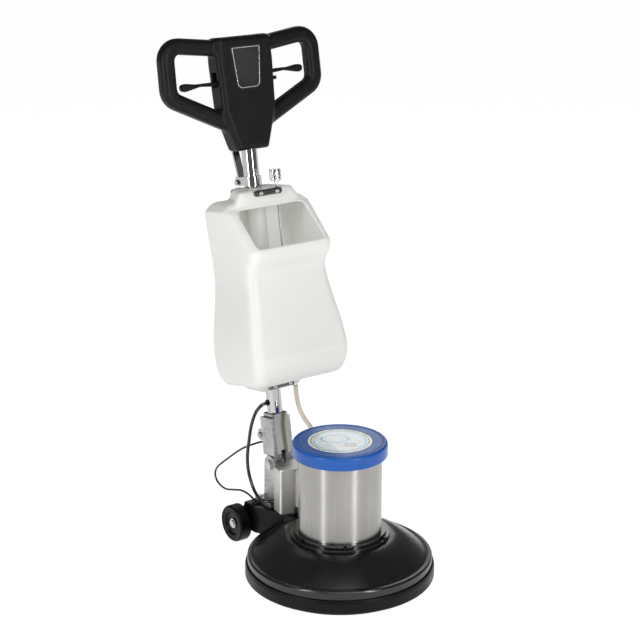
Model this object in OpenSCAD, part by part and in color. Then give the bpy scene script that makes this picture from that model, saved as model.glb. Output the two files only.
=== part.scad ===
// Rotary floor machine: a single-disc scrubber and polisher with a tilting column, a solution
// tank, a twin-loop handle and a planetary gear between its motor and its pad driver.
// The origin is on the floor under the motor's axis. -Y is the front and +Y is the operator's side.

/* [Deck] */
// Outer radius of the bumper ring
deck_r = 225; // [187:1:270]
// Height of the bumper's lower edge above the floor
deck_lift = 10; // [6:1:14]
// Height of the bumper ring
bumper_h = 34; // [28:1:40]
// How far the bumper stands out beyond the shroud's rim
bumper_t = 5.5; // [4:0.5:8]
// Wall of the shroud
shroud_wall = 4; // [3:0.5:5]
// Height of the shroud's top plate above the floor
shroud_top = 112; // [108:1:118]
// Gap between the pad driver's edge and the inside of the shroud
driver_gap = 11; // [8:1:16]
// Thickness of the floor pad
pad_t = 24; // [18:1:26]

/* [Motor] */
// Outer radius of the motor housing
motor_r = 98.5; // [82:0.5:119]
// Wall of the motor housing
motor_wall = 2; // [1.5:0.5:3]
// Height of the visible housing between the collar and the cap
motor_h = 187; // [156:1:225]
// How far the cap stands out beyond the housing
cap_over = 13.5; // [10:0.5:16]
// Height of the cap
cap_h = 32; // [28:1:38]
// Radius of the round label on the cap
label_r = 75; // [55:1:80]
// Radius of the rotor shaft
shaft_r = 10; // [9:0.5:12]

/* [Gearing] */
// Module of the gears
gear_m = 2; // [1.67:0.01:2.1]
// Face width of the planet gears
gear_w = 16; // [12:1:18]
// Radius of the output shaft
output_r = 14; // [12:0.5:16]

/* [Column] */
// Outer radius of the column tube
tube_r = 19; // [15.8:0.1:22.8]
// Wall of the column tube
tube_wall = 2; // [1.5:0.5:3]
// Length of the column from its pivot to the top of the handle housing
column_len = 1040; // [1000:1:1248]
// How far the column leans back where it is stored, in degrees
lean = 9; // [4:1:14]
// Height of the column's pivot above the floor
pivot_h = 210; // [204:1:222]
// Radius of the pivot bolt
pivot_r = 8; // [6.7:0.1:9.6]

/* [Wheels] */
// Radius of the transport wheels
wheel_r = 46; // [38:1:50]
// Width of a transport wheel
wheel_w = 34; // [28:1:41]
// Radius of the wheel axle
axle_r = 8; // [6.6:0.1:9.6]

/* [Tank] */
// Wall of the tank
tank_wall = 5; // [4:0.5:7]
// Half of the tank's width at its widest
tank_half_w = 136; // [128:1:145]
// Distance from the column's axis to the tank's fullest front
tank_front = 154; // [145:1:165]
// Height of the tank from its floor to the top of its ridge
tank_h = 470; // [440:1:480]

/* [Handle] */
// Outer radius of the loop grips
grip_r = 19; // [16:0.5:21]
// Wall of the handle shells
shell_wall = 3; // [2.5:0.5:4]
// Distance from the middle of the handle to the outer grip's axis
loop_reach = 203; // [180:1:215]

/* [Hidden] */
$fn = 64;
EPS = 0.01;

// Clearances shared by the fits
run_gap = 0.05;     // radial gap of a shaft that turns in a bore
side_gap = 0.4;     // gap between faces that slide past each other
free_gap = 1;       // gap around a piece that only passes through

// Deck and shroud
rim_r = deck_r - bumper_t;                 // outer radius of the shroud's rim
rim_z = deck_lift + bumper_h + 18;         // height of the rim's shoulder
dome_r = motor_r + 25.5;                   // where the dome meets the flat top
dome_steps = 12;
driver_r = rim_r - shroud_wall - driver_gap;
driver_t = 20;
driver_top = pad_t + driver_t;
clutch_t = 6;
clutch_r = 62;
lug_r = 9;
lug_orbit = 48;
lug_count = 3;
bolt_r = 3;
bolt_count = 6;

// Gear train: a sun on the rotor shaft, three planets and a fixed ring
sun_teeth = 9;
planet_teeth = 27;
ring_teeth = sun_teeth + 2 * planet_teeth;
pressure = 25;
backlash = 0.3;
orbit_r = gear_m * (sun_teeth + planet_teeth) / 2;
ring_outer_r = gear_m * ring_teeth / 2 + 11;
case_r = ring_outer_r + 4;
case_z = driver_top + clutch_t + 6;        // underside of the gear case
case_floor = 6;
carrier_z = case_z + 15;
carrier_t = 6;
gear_z = carrier_z + carrier_t + 1;        // underside of the planets
flange_t = 4;
pin_r = 5;
seat_r = output_r + 10;                    // output bearing's outer radius
bearing_t = 10;

// Motor
collar_r = motor_r + 19.5;
collar_h = 15;
plate_r = motor_r + 5.5;
plate_t = 7;
housing_z = shroud_top + collar_h;
cap_z = housing_z + motor_h;
cap_r = motor_r + cap_over;
cap_top = cap_z + cap_h;
bore_r = motor_r - motor_wall;             // inside of the housing
hub_r = shaft_r + 11;                      // motor bearings' outer radius
lower_bearing_z = shroud_top + 2;
core_z = housing_z + 38;
core_h = motor_h * 0.4;
air_gap = 0.8;
rotor_r = motor_r / 2;
winding_h = 15;
fan_z = core_z + core_h + winding_h + 7;
fan_h = 14;
shield_z = fan_z + fan_h + 12;
shield_t = 8;
tie_orbit = bore_r - 6.5;
tie_count = 4;

// Column pivot, wheels and the rear of the deck
pivot_y = deck_r + 21;
wheel_y = deck_r + 75;
wheel_z = wheel_r + 9;
bracket_half_w = 74;
bracket_z = shroud_top - 4;                // top face of the wheel bracket
bracket_wall = 8;
wheel_in = bracket_half_w + 4;
wheel_out = wheel_in + wheel_w;
box_rear = pivot_y - 27;
box_half_w = 50;
box_z = bracket_z;
box_h = 118;
box_wall = 1.5;
capacitor_r = 19;
yoke_r = 23;
yoke_plate = 10;
yoke_half = 48;
yoke_bolt_x = 39.5;
cheek_t = 6.7;
knuckle_w = 24;                            // half width of the foot's knuckle
cheek_in = knuckle_w + side_gap;
sector_r = 38;
sector_t = 8;
knuckle_r = 20;
foot_r = yoke_r + 1;                       // the foot keeps outside this radius
bolt8_r = 4;

// Column, in its own frame: Z runs up the tube from the pivot and Y to the rear
bore_tube_r = tube_r - tube_wall;
socket_wall = 2;
socket_half = tube_r + socket_wall + 0.1;
socket_bottom = 26;
socket_top = 128;
foot_wall = 7;
foot_half = socket_half + foot_wall;
foot_top = 118;
slot_half = sector_t / 2 + 2.5;
tube_bottom = 46;
tube_top = column_len - 40;
grommet_z = 155;
cable_r = 4.2;
thin_r = 2.6;
hose_r = 5.5;

// Adjusting lever and lock rod
lever_y = tube_r + 25;
lever_slope = 13.8;
lever_len = 180;
rod_r = 3.5;
lock_pin_r = 5;

// Tank
tank_z = 215;
tank_top = tank_z + tank_h;
tank_rear = 36;
bulge_z = tank_z + 80;
waist_z = tank_z + 268;
waist_front = tank_front - 32;
waist_half_w = tank_half_w - 22;
lip_z = tank_z + 334;
lip_front = tank_front - 4;
ridge_front = 62;
ridge_low = tank_top - 41;
ridge_half_w = 75;
ridge_foot_w = 97;                         // where the ridge meets the shoulders
ridge_foot_z = tank_top - 28;
ridge_rear_w = 54;                         // the ridge narrows toward the rear
shoulder_z = tank_top - 46;
shoulder_half_w = tank_half_w - 14;
curve_steps = 7;
mouth_half_w = 94;
mouth_corner = 10;
channel_r = tube_r + free_gap;
neck_half_w = 50;
neck_top_w = 88;
neck_h = 25;
clamp_half = 22.5;
clamp_upper_z = tank_top - 13;
clamp_lower_z = tank_z - 13;
strip_half_w = 40;
strip_h = 15;
strip_t = 3;
clamp_bolt_r = 3;

lever_z = tank_top + 7;

// Valve
valve_x = 34;
valve_front = 50;
valve_rod_r = 2;
valve_r = 8;                               // valve body and the plunger above it
valve_nut_r = 13;
knob_r = 14;
knob_h = 28;
knob_z = tank_top + 9;
flutes = 12;

// Handle
housing_top = column_len;
housing_bottom = column_len - 268;
housing_depth = 28;
loop_top = column_len - 18;
loop_bend = 34;
left_lever_z = column_len - 106;
right_lever_z = column_len - 90;
lever_pin_x = 58;
lever_pin_r = 3;
switch_lever_w = 18;
button_r = 4.5;
button_y = 14;
button_z = right_lever_z - 16;
badge_t = 1;
mains_r = 5;
micro_x = 26;                              // inner side of each microswitch
micro_w = 24;
micro_t = 18;
micro_h = 50;
micro_drop = 12;                           // from a lever's pin down to its switch
rib_heights = [column_len - 50, column_len - 150];

// Routes of the cords at rest
MOTOR_ROUTE = [[-23, 270, 363], [-38, 272, 358], [-50, 278, 340], [-55, 289, 306], [-56, 298, 266],
    [-57, 305, 222], [-57, 302, 184], [-57, 287, 152], [-59, 266, 134], [-60, 246, 127],
    [-56, 231, 126], [-47, 220, 126]];
THIN_ROUTE = [[-14, 283, 255], [-17, 297, 252], [-28, 318, 242], [-44, 352, 221], [-58, 398, 182],
    [-66, 430, 152], [-69, 436, 131], [-71, 420, 115], [-72, 385, 110], [-71, 350, 119],
    [-67, 322, 126], [-62, 300, 124], [-58, 277, 115]];
HOSE_ROUTE = [[34, 227, 410], [34, 223, 385], [35, 214, 356], [39, 198, 332], [46, 178, 310],
    [54, 161, 286], [60, 149, 252], [64, 141, 212], [66, 137, 168], [66, 136, 126]];

// Shared shapes
module ring(outer, inner, h) difference() {
    cylinder(r = outer, h = h);
    translate([0, 0, -EPS]) cylinder(r = inner, h = h + 2 * EPS);
}

module around(count, orbit, start = 0) for (i = [0 : count - 1])
    rotate([0, 0, start + i * 360 / count]) translate([orbit, 0, 0]) children();

module hex_bolt(r, shank, head = 0) {
    head_h = head > 0 ? head : 1.3 * r;
    cylinder(r = 1.8 * r, h = head_h, $fn = 6);
    translate([0, 0, -shank]) cylinder(r = r, h = shank + EPS);
}

// Extrudes a Y-Z outline along X, centred
module along_x(w) rotate([90, 0, 90]) translate([0, 0, -w / 2]) linear_extrude(w) children();

// Extrudes an X-Z outline from a front depth to a rear depth along Y
module along_y(front, rear) translate([0, rear, 0]) rotate([90, 0, 0])
    linear_extrude(rear - front) children();

module round_rod(r, x0, x1) translate([x0, 0, 0]) rotate([0, 90, 0]) cylinder(r = r, h = x1 - x0);

module in_column() translate([0, pivot_y, pivot_h]) rotate([-lean, 0, 0]) children();

module at_axle() translate([0, wheel_y, wheel_z]) children();

// Involute gears
function inv(a) = tan(a) - a * PI / 180;
function flank_half(r, rp, z, play) =
    let (rb = rp * cos(pressure), a = r > rb ? acos(rb / r) : 0)
    (PI / (2 * z) - play / (4 * rp)) * 180 / PI + (inv(pressure) - inv(a)) * 180 / PI;
function polar(r, a) = [r * cos(a), r * sin(a)];
function tooth(c, radii, rp, z, play) = concat(
    [for (r = radii) polar(r, c - flank_half(r, rp, z, play))],
    [for (i = [len(radii) - 1 : -1 : 0]) polar(radii[i], c + flank_half(radii[i], rp, z, play))]);
function gear_points(z, root, tip, play) =
    let (rp = gear_m * z / 2, mid = (max(root, rp * cos(pressure)) + tip) / 2)
    [for (i = [0 : z - 1]) each tooth(i * 360 / z, [root, mid, tip], rp, z, play)];
function outer_root(z) = gear_m * z / 2 - gear_m;
function outer_tip(z) = gear_m * z / 2 + 0.8 * gear_m;
function planet_phase(a) = a + 180 + a * sun_teeth / planet_teeth + 180 / planet_teeth;

module outer_gear(z, h) linear_extrude(h)
    polygon(gear_points(z, outer_root(z), outer_tip(z), backlash));

// Cords: a smooth curve through the route, swept with a carried normal
function curve_at(p, i, t) =
    let (a = p[max(i - 1, 0)], b = p[i], c = p[i + 1], d = p[min(i + 2, len(p) - 1)])
    b + t * (c - a) / 2 + t * t * (2 * a - 5 * b + 4 * c - d) / 2 + t * t * t * (3 * b - a - 3 * c + d) / 2;
function curve(p, n) = concat([for (i = [0 : len(p) - 2]) for (k = [0 : n - 1]) curve_at(p, i, k / n)],
    [p[len(p) - 1]]);
function unit(v) = v / norm(v);
function heading(q, i) = unit(q[min(i + 1, len(q) - 1)] - q[max(i - 1, 0)]);
function carried(q, i, last) = unit(last - (last * heading(q, i)) * heading(q, i));
function normals(q, i = 0, last = [0.3, 0.2, 1]) =
    i >= len(q) ? [] : let (n = carried(q, i, last)) concat([n], normals(q, i + 1, n));

module cord(route, r, n, sides) {
    path = curve(route, n);
    nrm = normals(path);
    points = [for (i = [0 : len(path) - 1]) let (u = nrm[i], w = cross(heading(path, i), u))
        for (s = [0 : sides - 1]) path[i] + r * (cos(s * 360 / sides) * u + sin(s * 360 / sides) * w)];
    walls = [for (i = [0 : len(path) - 2]) for (s = [0 : sides - 1])
        let (a = i * sides, t = (s + 1) % sides) [a + s, a + sides + s, a + sides + t, a + t]];
    first = [for (s = [0 : sides - 1]) s];
    last = [for (s = [sides - 1 : -1 : 0]) (len(path) - 1) * sides + s];
    polyhedron(points, concat(walls, [first, last]), convexity = 6);
}

// Deck
function dome_z(r) = let (t = (r - dome_r) / (rim_r - 15 - dome_r))
    shroud_top - (shroud_top - rim_z - 2) * pow(t, 1.5);
function dome_line(drop, shift) = [for (i = [0 : dome_steps])
    let (r = dome_r + (rim_r - 15 - dome_r) * i / dome_steps) [r - shift, dome_z(r) - drop]];

module shroud_outline() polygon(concat([[0, deck_lift + 4], [0, shroud_top]], dome_line(0, 0),
    [[rim_r - 12, rim_z], [rim_r - 9, rim_z + 2], [rim_r - 3, rim_z + 2], [rim_r, rim_z - 2],
    [rim_r, deck_lift + 4]]));

module shroud_cavity() polygon(concat([[0, deck_lift], [0, shroud_top - shroud_wall]],
    dome_line(shroud_wall, 2), [[rim_r - shroud_wall, rim_z - 6], [rim_r - shroud_wall, deck_lift]]));

module shroud() color("#151517") difference() {
    rotate_extrude($fn = 128) shroud_outline();
    rotate_extrude($fn = 128) shroud_cavity();
    cylinder(r = case_r + 0.3, h = shroud_top + 1);
    around(bolt_count, collar_r - 4) cylinder(r = bolt_r, h = shroud_top + 1);
    translate([0, 0, -EPS]) hose_place() cylinder(r = hose_r - 1.5, h = shroud_top);
}

module bumper() color("#1c1c1e") translate([0, 0, deck_lift]) rotate_extrude($fn = 128)
    polygon([[rim_r, 0], [deck_r - 3, 0], [deck_r, 4], [deck_r, bumper_h - 5], [deck_r - 2, bumper_h],
        [rim_r, bumper_h]]);

module floor_bolts() color("#2b2b2d") around(bolt_count, collar_r - 4)
    translate([0, 0, shroud_top + collar_h - 8]) hex_bolt(bolt_r, collar_h - 8 + shroud_wall + 5, 4);

module floor_pad() color("#26282a") cylinder(r = driver_r, h = pad_t, $fn = 128);

module pad_driver() color("#3a3f45") difference() {
    translate([0, 0, pad_t]) cylinder(r = driver_r, h = driver_t, $fn = 128);
    translate([0, 0, pad_t + 6]) cylinder(r = output_r + 1, h = driver_t);
    translate([0, 0, driver_top - 10]) around(lug_count, lug_orbit) cylinder(r = lug_r, h = 10 + EPS);
}

module clutch_plate() color("#8a8d90") {
    translate([0, 0, driver_top]) ring(clutch_r, output_r, clutch_t);
    translate([0, 0, driver_top - 10]) around(lug_count, lug_orbit) cylinder(r = lug_r, h = 10 + EPS);
}

// Gearing
module gear_case() color("#6d7073") difference() {
    union() {
        translate([0, 0, case_z]) cylinder(r = case_r, h = shroud_top - case_z);
        translate([0, 0, shroud_top - shroud_wall - flange_t]) cylinder(r = case_r + 20, h = flange_t);
    }
    translate([0, 0, case_z - EPS]) cylinder(r = output_r + 1, h = case_floor);
    translate([0, 0, case_z + 3]) cylinder(r = seat_r, h = bearing_t);
    translate([0, 0, case_z + 3 + bearing_t - EPS]) cylinder(r = ring_outer_r - 4, h = 60);
    translate([0, 0, gear_z - 0.5]) cylinder(r = ring_outer_r, h = 60);
}

module ring_gear() color("#a9abad") translate([0, 0, gear_z - 0.5]) difference() {
    cylinder(r = ring_outer_r, h = gear_w + 1);
    translate([0, 0, -1]) linear_extrude(gear_w + 3) polygon(gear_points(ring_teeth,
        gear_m * ring_teeth / 2 - 0.8 * gear_m, gear_m * ring_teeth / 2 + gear_m, -backlash));
}

module output_carrier() color("#b4b6b8") {
    translate([0, 0, driver_top]) cylinder(r = output_r, h = carrier_z - driver_top + EPS);
    translate([0, 0, carrier_z]) cylinder(r = orbit_r + 10, h = carrier_t);
    translate([0, 0, carrier_z + carrier_t - EPS]) around(3, orbit_r, 90)
        cylinder(r = pin_r, h = gear_w + 2);
}

module planet(a) color("#c2a35a") rotate([0, 0, a]) translate([orbit_r, 0, gear_z])
    rotate([0, 0, planet_phase(a) - a]) difference() {
        outer_gear(planet_teeth, gear_w);
        translate([0, 0, -EPS]) cylinder(r = pin_r + run_gap, h = gear_w + 2 * EPS);
    }

module planet_gear_1() planet(90);
module planet_gear_2() planet(210);
module planet_gear_3() planet(330);

module rotor_shaft() color("#c9cbcd") {
    translate([0, 0, gear_z - 0.4]) outer_gear(sun_teeth, gear_w + 1.4);
    translate([0, 0, gear_z + gear_w]) cylinder(r = outer_root(sun_teeth), h = shroud_top - gear_z - gear_w);
    translate([0, 0, shroud_top - EPS]) cylinder(r = shaft_r, h = shield_z + shield_t + 4 - shroud_top);
}

module rotor_core() color("#8f9194") translate([0, 0, core_z]) ring(rotor_r - air_gap, shaft_r, core_h);

module cooling_fan() color("#2f3338") translate([0, 0, fan_z]) {
    ring(shaft_r + 12, shaft_r, fan_h);
    ring(bore_r - 18, shaft_r, 2);
    around(9, shaft_r + 10) translate([0, -1, 1]) cube([bore_r - shaft_r - 32, 2, fan_h - 3]);
}

module bearings() color("#d3d5d7") {
    translate([0, 0, case_z + 3]) ring(seat_r, output_r + run_gap, bearing_t);
    translate([0, 0, lower_bearing_z]) ring(hub_r, shaft_r + run_gap, bearing_t);
    translate([0, 0, shield_z - 2]) ring(hub_r, shaft_r + run_gap, bearing_t);
}

// Motor
module motor_plate() color("#9b9ea1") difference() {
    translate([0, 0, shroud_top]) union() {
        cylinder(r = plate_r, h = plate_t);
        cylinder(r = hub_r + 9, h = bearing_t + 4);
    }
    translate([0, 0, shroud_top - EPS]) cylinder(r = shaft_r + free_gap, h = 40);
    translate([0, 0, lower_bearing_z]) cylinder(r = hub_r, h = bearing_t + 4);
    tie_holes();
}

module tie_holes() around(tie_count, tie_orbit, 45) cylinder(r = bolt_r, h = shield_z + shield_t + 1);

module motor_collar() color("#111113") difference() {
    translate([0, 0, shroud_top]) union() {
        cylinder(r = collar_r, h = collar_h - 8);
        cylinder(r = collar_r - 8, h = collar_h);
    }
    translate([0, 0, shroud_top - 1]) cylinder(r = plate_r, h = plate_t + 1);
    cylinder(r = bore_r - 2, h = housing_z + 1);
    around(bolt_count, collar_r - 4) cylinder(r = bolt_r, h = housing_z + 1);
    around(bolt_count, collar_r - 4) translate([0, 0, shroud_top + collar_h - 8])
        cylinder(r = 1.9 * bolt_r, h = 9);
    around(36, collar_r - 8) translate([0, 0, housing_z - 3]) cube([4, 1.6, 4], center = true);
}

module motor_housing() color("#c8c9c6") translate([0, 0, housing_z])
    ring(motor_r, bore_r, motor_h + cap_h - 8);

module motor_cap() color("#1f53b5") difference() {
    translate([0, 0, cap_z]) rotate_extrude($fn = 128) polygon([[0, cap_h - 8], [motor_r, cap_h - 8],
        [motor_r, 6], [motor_r + 2.5, 6], [motor_r + 2.5, cap_h - 5], [cap_r - 4, cap_h - 7],
        [cap_r - 4, 0], [cap_r, 0], [cap_r, cap_h - 6], [cap_r - 3, cap_h - 1.5], [cap_r - 7, cap_h],
        [cap_r - 9, cap_h], [cap_r - 10, cap_h - 1.5], [cap_r - 12, cap_h - 1.5], [cap_r - 13, cap_h - 0.6],
        [0, cap_h - 0.6]]);
    translate([0, 0, cap_top - 2]) cylinder(r = label_r, h = 8);
}

module cap_label() color("#cfd8dc") translate([0, 0, cap_top - 2]) cylinder(r = label_r, h = 1.2);

module end_shield() color("#9b9ea1") difference() {
    translate([0, 0, shield_z]) cylinder(r = bore_r, h = shield_t);
    translate([0, 0, shield_z - EPS]) cylinder(r = hub_r, h = shield_t + 1);
    around(6, bore_r * 0.58) cylinder(r = 13, h = shield_z + shield_t + 1);
    tie_holes();
}

module stator_core() color("#7c7f83") difference() {
    translate([0, 0, core_z]) ring(bore_r, rotor_r, core_h);
    tie_holes();
}

module stator_windings() color("#b5652a") for (z = [core_z - winding_h, core_z + core_h])
    translate([0, 0, z]) ring(tie_orbit - 6, rotor_r + 4, winding_h);

module tie_bolts() color("#b9bbbd") around(tie_count, tie_orbit, 45)
    translate([0, 0, shield_z + shield_t]) hex_bolt(bolt_r, shield_z + shield_t - shroud_top);

// Capacitor box behind the motor
module box_outline(i) polygon([[22 - i, box_rear - 63 + i], [box_half_w - i, box_rear - 47 + i / 2],
    [box_half_w - 4 - i, box_rear - 14], [34 - i / 2, box_rear - i], [i / 2 - 34, box_rear - i],
    [4 + i - box_half_w, box_rear - 14], [i - box_half_w, box_rear - 47 + i / 2],
    [i - 22, box_rear - 63 + i]]);

module capacitor_box() color("#c4c5c2") difference() {
    translate([0, 0, box_z]) linear_extrude(box_h) union() {
        box_outline(0);
        translate([-18, motor_r - 3]) square([36, box_rear - 60 - motor_r]);
    }
    translate([0, 0, box_z + box_wall]) linear_extrude(box_h - 2 * box_wall) box_outline(box_wall);
    translate([0, 0, housing_z]) cylinder(r = motor_r, h = box_h);
    cylinder(r = collar_r + 0.3, h = housing_z);
    deck_solid();
}

module capacitors() color("#d9d9d6") for (s = [-1, 1]) translate([s * 22, box_rear - 31, box_z + box_wall])
    cylinder(r = capacitor_r, h = box_h - 14);

// Wheel bracket
function bracket_plan(i) = [[bracket_half_w - i, wheel_y - 6 - i], [bracket_half_w - i, wheel_y - 50],
    [38 - i, pivot_y - 70], [32 - i, dome_r - 10]];
module bracket_area(i) {
    p = bracket_plan(i);
    polygon(concat(p, [for (k = [3 : -1 : 0]) [-p[k][0], p[k][1]]]));
}

module deck_solid() {
    rotate_extrude($fn = 128) shroud_outline();
    cylinder(r = deck_r, h = deck_lift + bumper_h, $fn = 128);
}

module wheel_bracket() color("#1a1a1c") difference() {
    union() {
        translate([0, 0, 40]) linear_extrude(bracket_z - 40) bracket_area(0);
        for (s = [0, 1]) mirror([s, 0, 0]) translate([bracket_half_w - bracket_wall / 2, 0, 0]) {
            at_axle() round_rod(16, -bracket_wall / 2, bracket_wall / 2);
            at_axle() round_rod(13, 0, wheel_in - side_gap - bracket_half_w + bracket_wall / 2);
            along_x(bracket_wall) polygon([[wheel_y - 20, 40], [wheel_y + 12, wheel_z - 10],
                [wheel_y + 15.9, wheel_z + 2], [wheel_y - 6, bracket_z], [wheel_y - 20, bracket_z]]);
        }
    }
    translate([0, 0, 30]) linear_extrude(bracket_z - 30 - bracket_wall) bracket_area(bracket_wall);
    deck_solid();
    at_axle() round_rod(axle_r, -wheel_in, wheel_in);
    at_yoke_bolts() cylinder(r = bolt8_r, h = 40, center = true);
    gland_place(1) cylinder(r = thin_r + 1, h = 60, center = true);
}

module at_yoke_bolts() for (s = [-1, 1]) for (y = [-14, 32])
    translate([s * yoke_bolt_x, pivot_y + y, bracket_z + yoke_plate]) children();

module yoke_bolts() color("#c3c5c7") at_yoke_bolts() {
    grip = yoke_plate + bracket_wall;
    hex_bolt(bolt8_r, grip + 9);
    translate([0, 0, -grip - 6]) cylinder(r = 1.8 * bolt8_r, h = 6, $fn = 6);
}

module axle() color("#c9cbcd") at_axle() round_rod(axle_r, 2 - wheel_out, wheel_out - 2);

module axle_clips() color("#d7d9db") at_axle() for (s = [-1, 1])
    translate([s * (wheel_out - 6), 0, 0]) rotate([0, 90, 0]) translate([0, 0, -1])
        ring(axle_r + 4, axle_r, 2);

module wheel(s) color("#161617") at_axle() mirror([s < 0 ? 1 : 0, 0, 0]) difference() {
    translate([wheel_in, 0, 0]) rotate([90, 0, 90]) rotate_extrude() polygon([[axle_r + run_gap, 0],
        [wheel_r - 3, 0], [wheel_r, 4], [wheel_r, wheel_w - 4], [wheel_r - 3, wheel_w],
        [wheel_r * 0.56, wheel_w], [wheel_r * 0.52, wheel_w - 8], [axle_r + run_gap, wheel_w - 8]]);
    round_rod(axle_r + run_gap, wheel_in - 1, wheel_out + 1);
}

module left_wheel() wheel(-1);
module right_wheel() wheel(1);

// Yoke that carries the column, with the notched lock sector between its cheeks
module sector_outline() difference() {
    drop = pivot_h - bracket_z;
    union() {
        circle(r = 15);
        polygon(concat([[0, 0]], [for (i = [0 : 8]) let (a = lean - 7 + i * (59 / 8))
            [sector_r * sin(a), sector_r * cos(a)]]));
        polygon([[-13, 0], [13, 0], [18, yoke_plate - drop], [-18, yoke_plate - drop]]);
    }
    for (i = [0 : 5]) let (a = lean + i * 9)
        translate([sector_r * sin(a), sector_r * cos(a)]) circle(r = lock_pin_r - 1.6, $fn = 24);
}

module base_yoke() color("#a6a8a9") translate([0, pivot_y, 0]) difference() {
    union() {
        translate([-yoke_half, -yoke_r, bracket_z]) cube([2 * yoke_half, 64, yoke_plate]);
        for (s = [-1, 1]) translate([s * (cheek_in + cheek_t / 2), 0, 0]) {
            translate([0, 0, pivot_h]) round_rod(yoke_r, -cheek_t / 2, cheek_t / 2);
            along_x(cheek_t) polygon([[-yoke_r, bracket_z], [26, bracket_z], [yoke_r, pivot_h],
                [-yoke_r, pivot_h]]);
        }
        translate([0, 0, pivot_h]) along_x(sector_t) sector_outline();
    }
    translate([0, 0, pivot_h]) round_rod(pivot_r, -60, 60);
    translate([0, -pivot_y, 0]) at_yoke_bolts() cylinder(r = bolt8_r, h = 40, center = true);
}

module pivot_bolt() color("#d0d2d4") translate([0, pivot_y, pivot_h]) {
    reach = cheek_in + cheek_t;
    round_rod(pivot_r, -reach, reach);
    for (x = [-reach - 6.5, reach]) translate([x, 0, 0]) rotate([0, 90, 0])
        cylinder(r = pivot_r * 1.7, h = 6.5, $fn = 6);
}

// Hose barb behind the motor and the two cable glands
module hose_place() translate([66, 136, 0]) children();

module hose_inlet() color("#8b8d8f") difference() {
    hose_place() union() {
        translate([0, 0, shroud_top - 18]) cylinder(r = 10, h = 24);
        translate([0, 0, shroud_top]) cylinder(r = hose_r - 0.5, h = 126 - shroud_top);
    }
    deck_solid();
    hose_place() cylinder(r = hose_r - 2.5, h = 200);
}

module gland_place(i) {
    if (i == 0) translate([-46, 219, 126]) rotate([0, -90, -38.7]) children();
    if (i == 1) translate([-58, 276, bracket_z + 6]) rotate([-65, 0, 0]) children();
}

module cable_glands() color("#1b1b1d") difference() {
    union() {
        gland_place(0) translate([0, 0, -14]) cylinder(r = 7, h = 14);
        gland_place(1) translate([0, 0, -18]) cylinder(r = 6, h = 18);
    }
    translate([0, 0, box_z]) linear_extrude(box_h) box_outline(0);
    translate([-90, 240, bracket_z - 40]) cube([60, 60, 40]);
}

// Column foot, socket and tube
module column_tube() color("#d5d6d4") in_column() difference() {
    translate([0, 0, tube_bottom]) ring(tube_r, bore_tube_r, tube_top - tube_bottom);
    translate([0, 0, grommet_z]) round_rod(cable_r + 0.6, -tube_r - 1, 0);
    translate([-5.5, 0, lever_z - 4]) cube([11, tube_r + 1, 24]);
}

module column_socket() color("#cfd0ce") in_column() difference() {
    translate([-socket_half, -socket_half, socket_bottom])
        cube([2 * socket_half, 2 * socket_half, socket_top - socket_bottom]);
    translate([socket_wall - socket_half, socket_wall - socket_half, 0])
        cube([2 * (socket_half - socket_wall), 2 * (socket_half - socket_wall), socket_top + 1]);
    translate([-slot_half, -socket_half - 1, 0]) cube([2 * slot_half, socket_half + 1, sector_r - 3]);
    translate([-slot_half, 0, 0]) cube([2 * slot_half, socket_half + 1, sector_r + 4]);
}

module column_foot() color("#9fa1a2") in_column() difference() {
    union() {
        for (s = [-1, 1]) {
            translate([s * (slot_half + knuckle_w) / 2, 0, 0]) {
                round_rod(knuckle_r, (slot_half - knuckle_w) / 2, (knuckle_w - slot_half) / 2);
                translate([(slot_half - knuckle_w) / 2, -knuckle_r, 0])
                    cube([knuckle_w - slot_half, 2 * knuckle_r, socket_bottom]);
            }
            translate([s > 0 ? socket_half : -foot_half, -socket_half, foot_r])
                cube([foot_wall, 2 * socket_half + 6, foot_top - foot_r]);
        }
        translate([-foot_half, socket_half, tube_bottom])
            cube([2 * foot_half, 6, foot_top - tube_bottom]);
        translate([-foot_half, socket_half + 6 - EPS, 58]) cube([2 * foot_half, 15, 26]);
        translate([-14, socket_half + 6 - EPS, 50]) rotate([-90, 0, 0]) cylinder(r = thin_r + 2, h = 1.7);
        for (s = [-1, 1]) translate([s > 0 ? knuckle_w - 4 : -foot_half, -knuckle_r, foot_r])
            cube([foot_half - knuckle_w + 4, 2 * knuckle_r, socket_bottom - foot_r]);
    }
    round_rod(pivot_r + run_gap, -60, 60);
    translate([-1.5, socket_half - 1, 50]) cube([3, 40, 42]);
    foot_bolt_place() round_rod(bolt8_r, -60, 60);
}

module foot_bolt_place() translate([0, socket_half + 14, 71]) children();

module column_bolts() color("#d9dadb") in_column() {
    foot_bolt_place() m8_through(foot_half);
    translate([0, lever_y, lever_z]) m8_through(14);
}

module m8_through(half) {
    round_rod(bolt8_r, -half, half);
    for (x = [-half - 5.2, half]) translate([x, 0, 0]) rotate([0, 90, 0])
        cylinder(r = 7.2, h = 5.2, $fn = 6);
}

// Bushings where the motor cable leaves the tube and where the mains lead leaves the handle
module cable_bushings() color("#0e0e10") in_column() {
    difference() {
        translate([0, 0, grommet_z]) rotate([0, -90, 0]) translate([0, 0, tube_r - 4]) union() {
            cylinder(r = cable_r + 3.6, h = 5.8);
            cylinder(r = cable_r + 2, h = 6.4);
        }
        translate([0, 0, grommet_z - 20]) cylinder(r = tube_r, h = 40);
    }
    at_mains() rotate([-90, 0, 0]) difference() {
        union() {
            cylinder(r = 11, h = 6);
            cylinder(r = 8, h = 18);
        }
        translate([0, 0, -1]) cylinder(r = mains_r, h = 20);
    }
}

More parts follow.
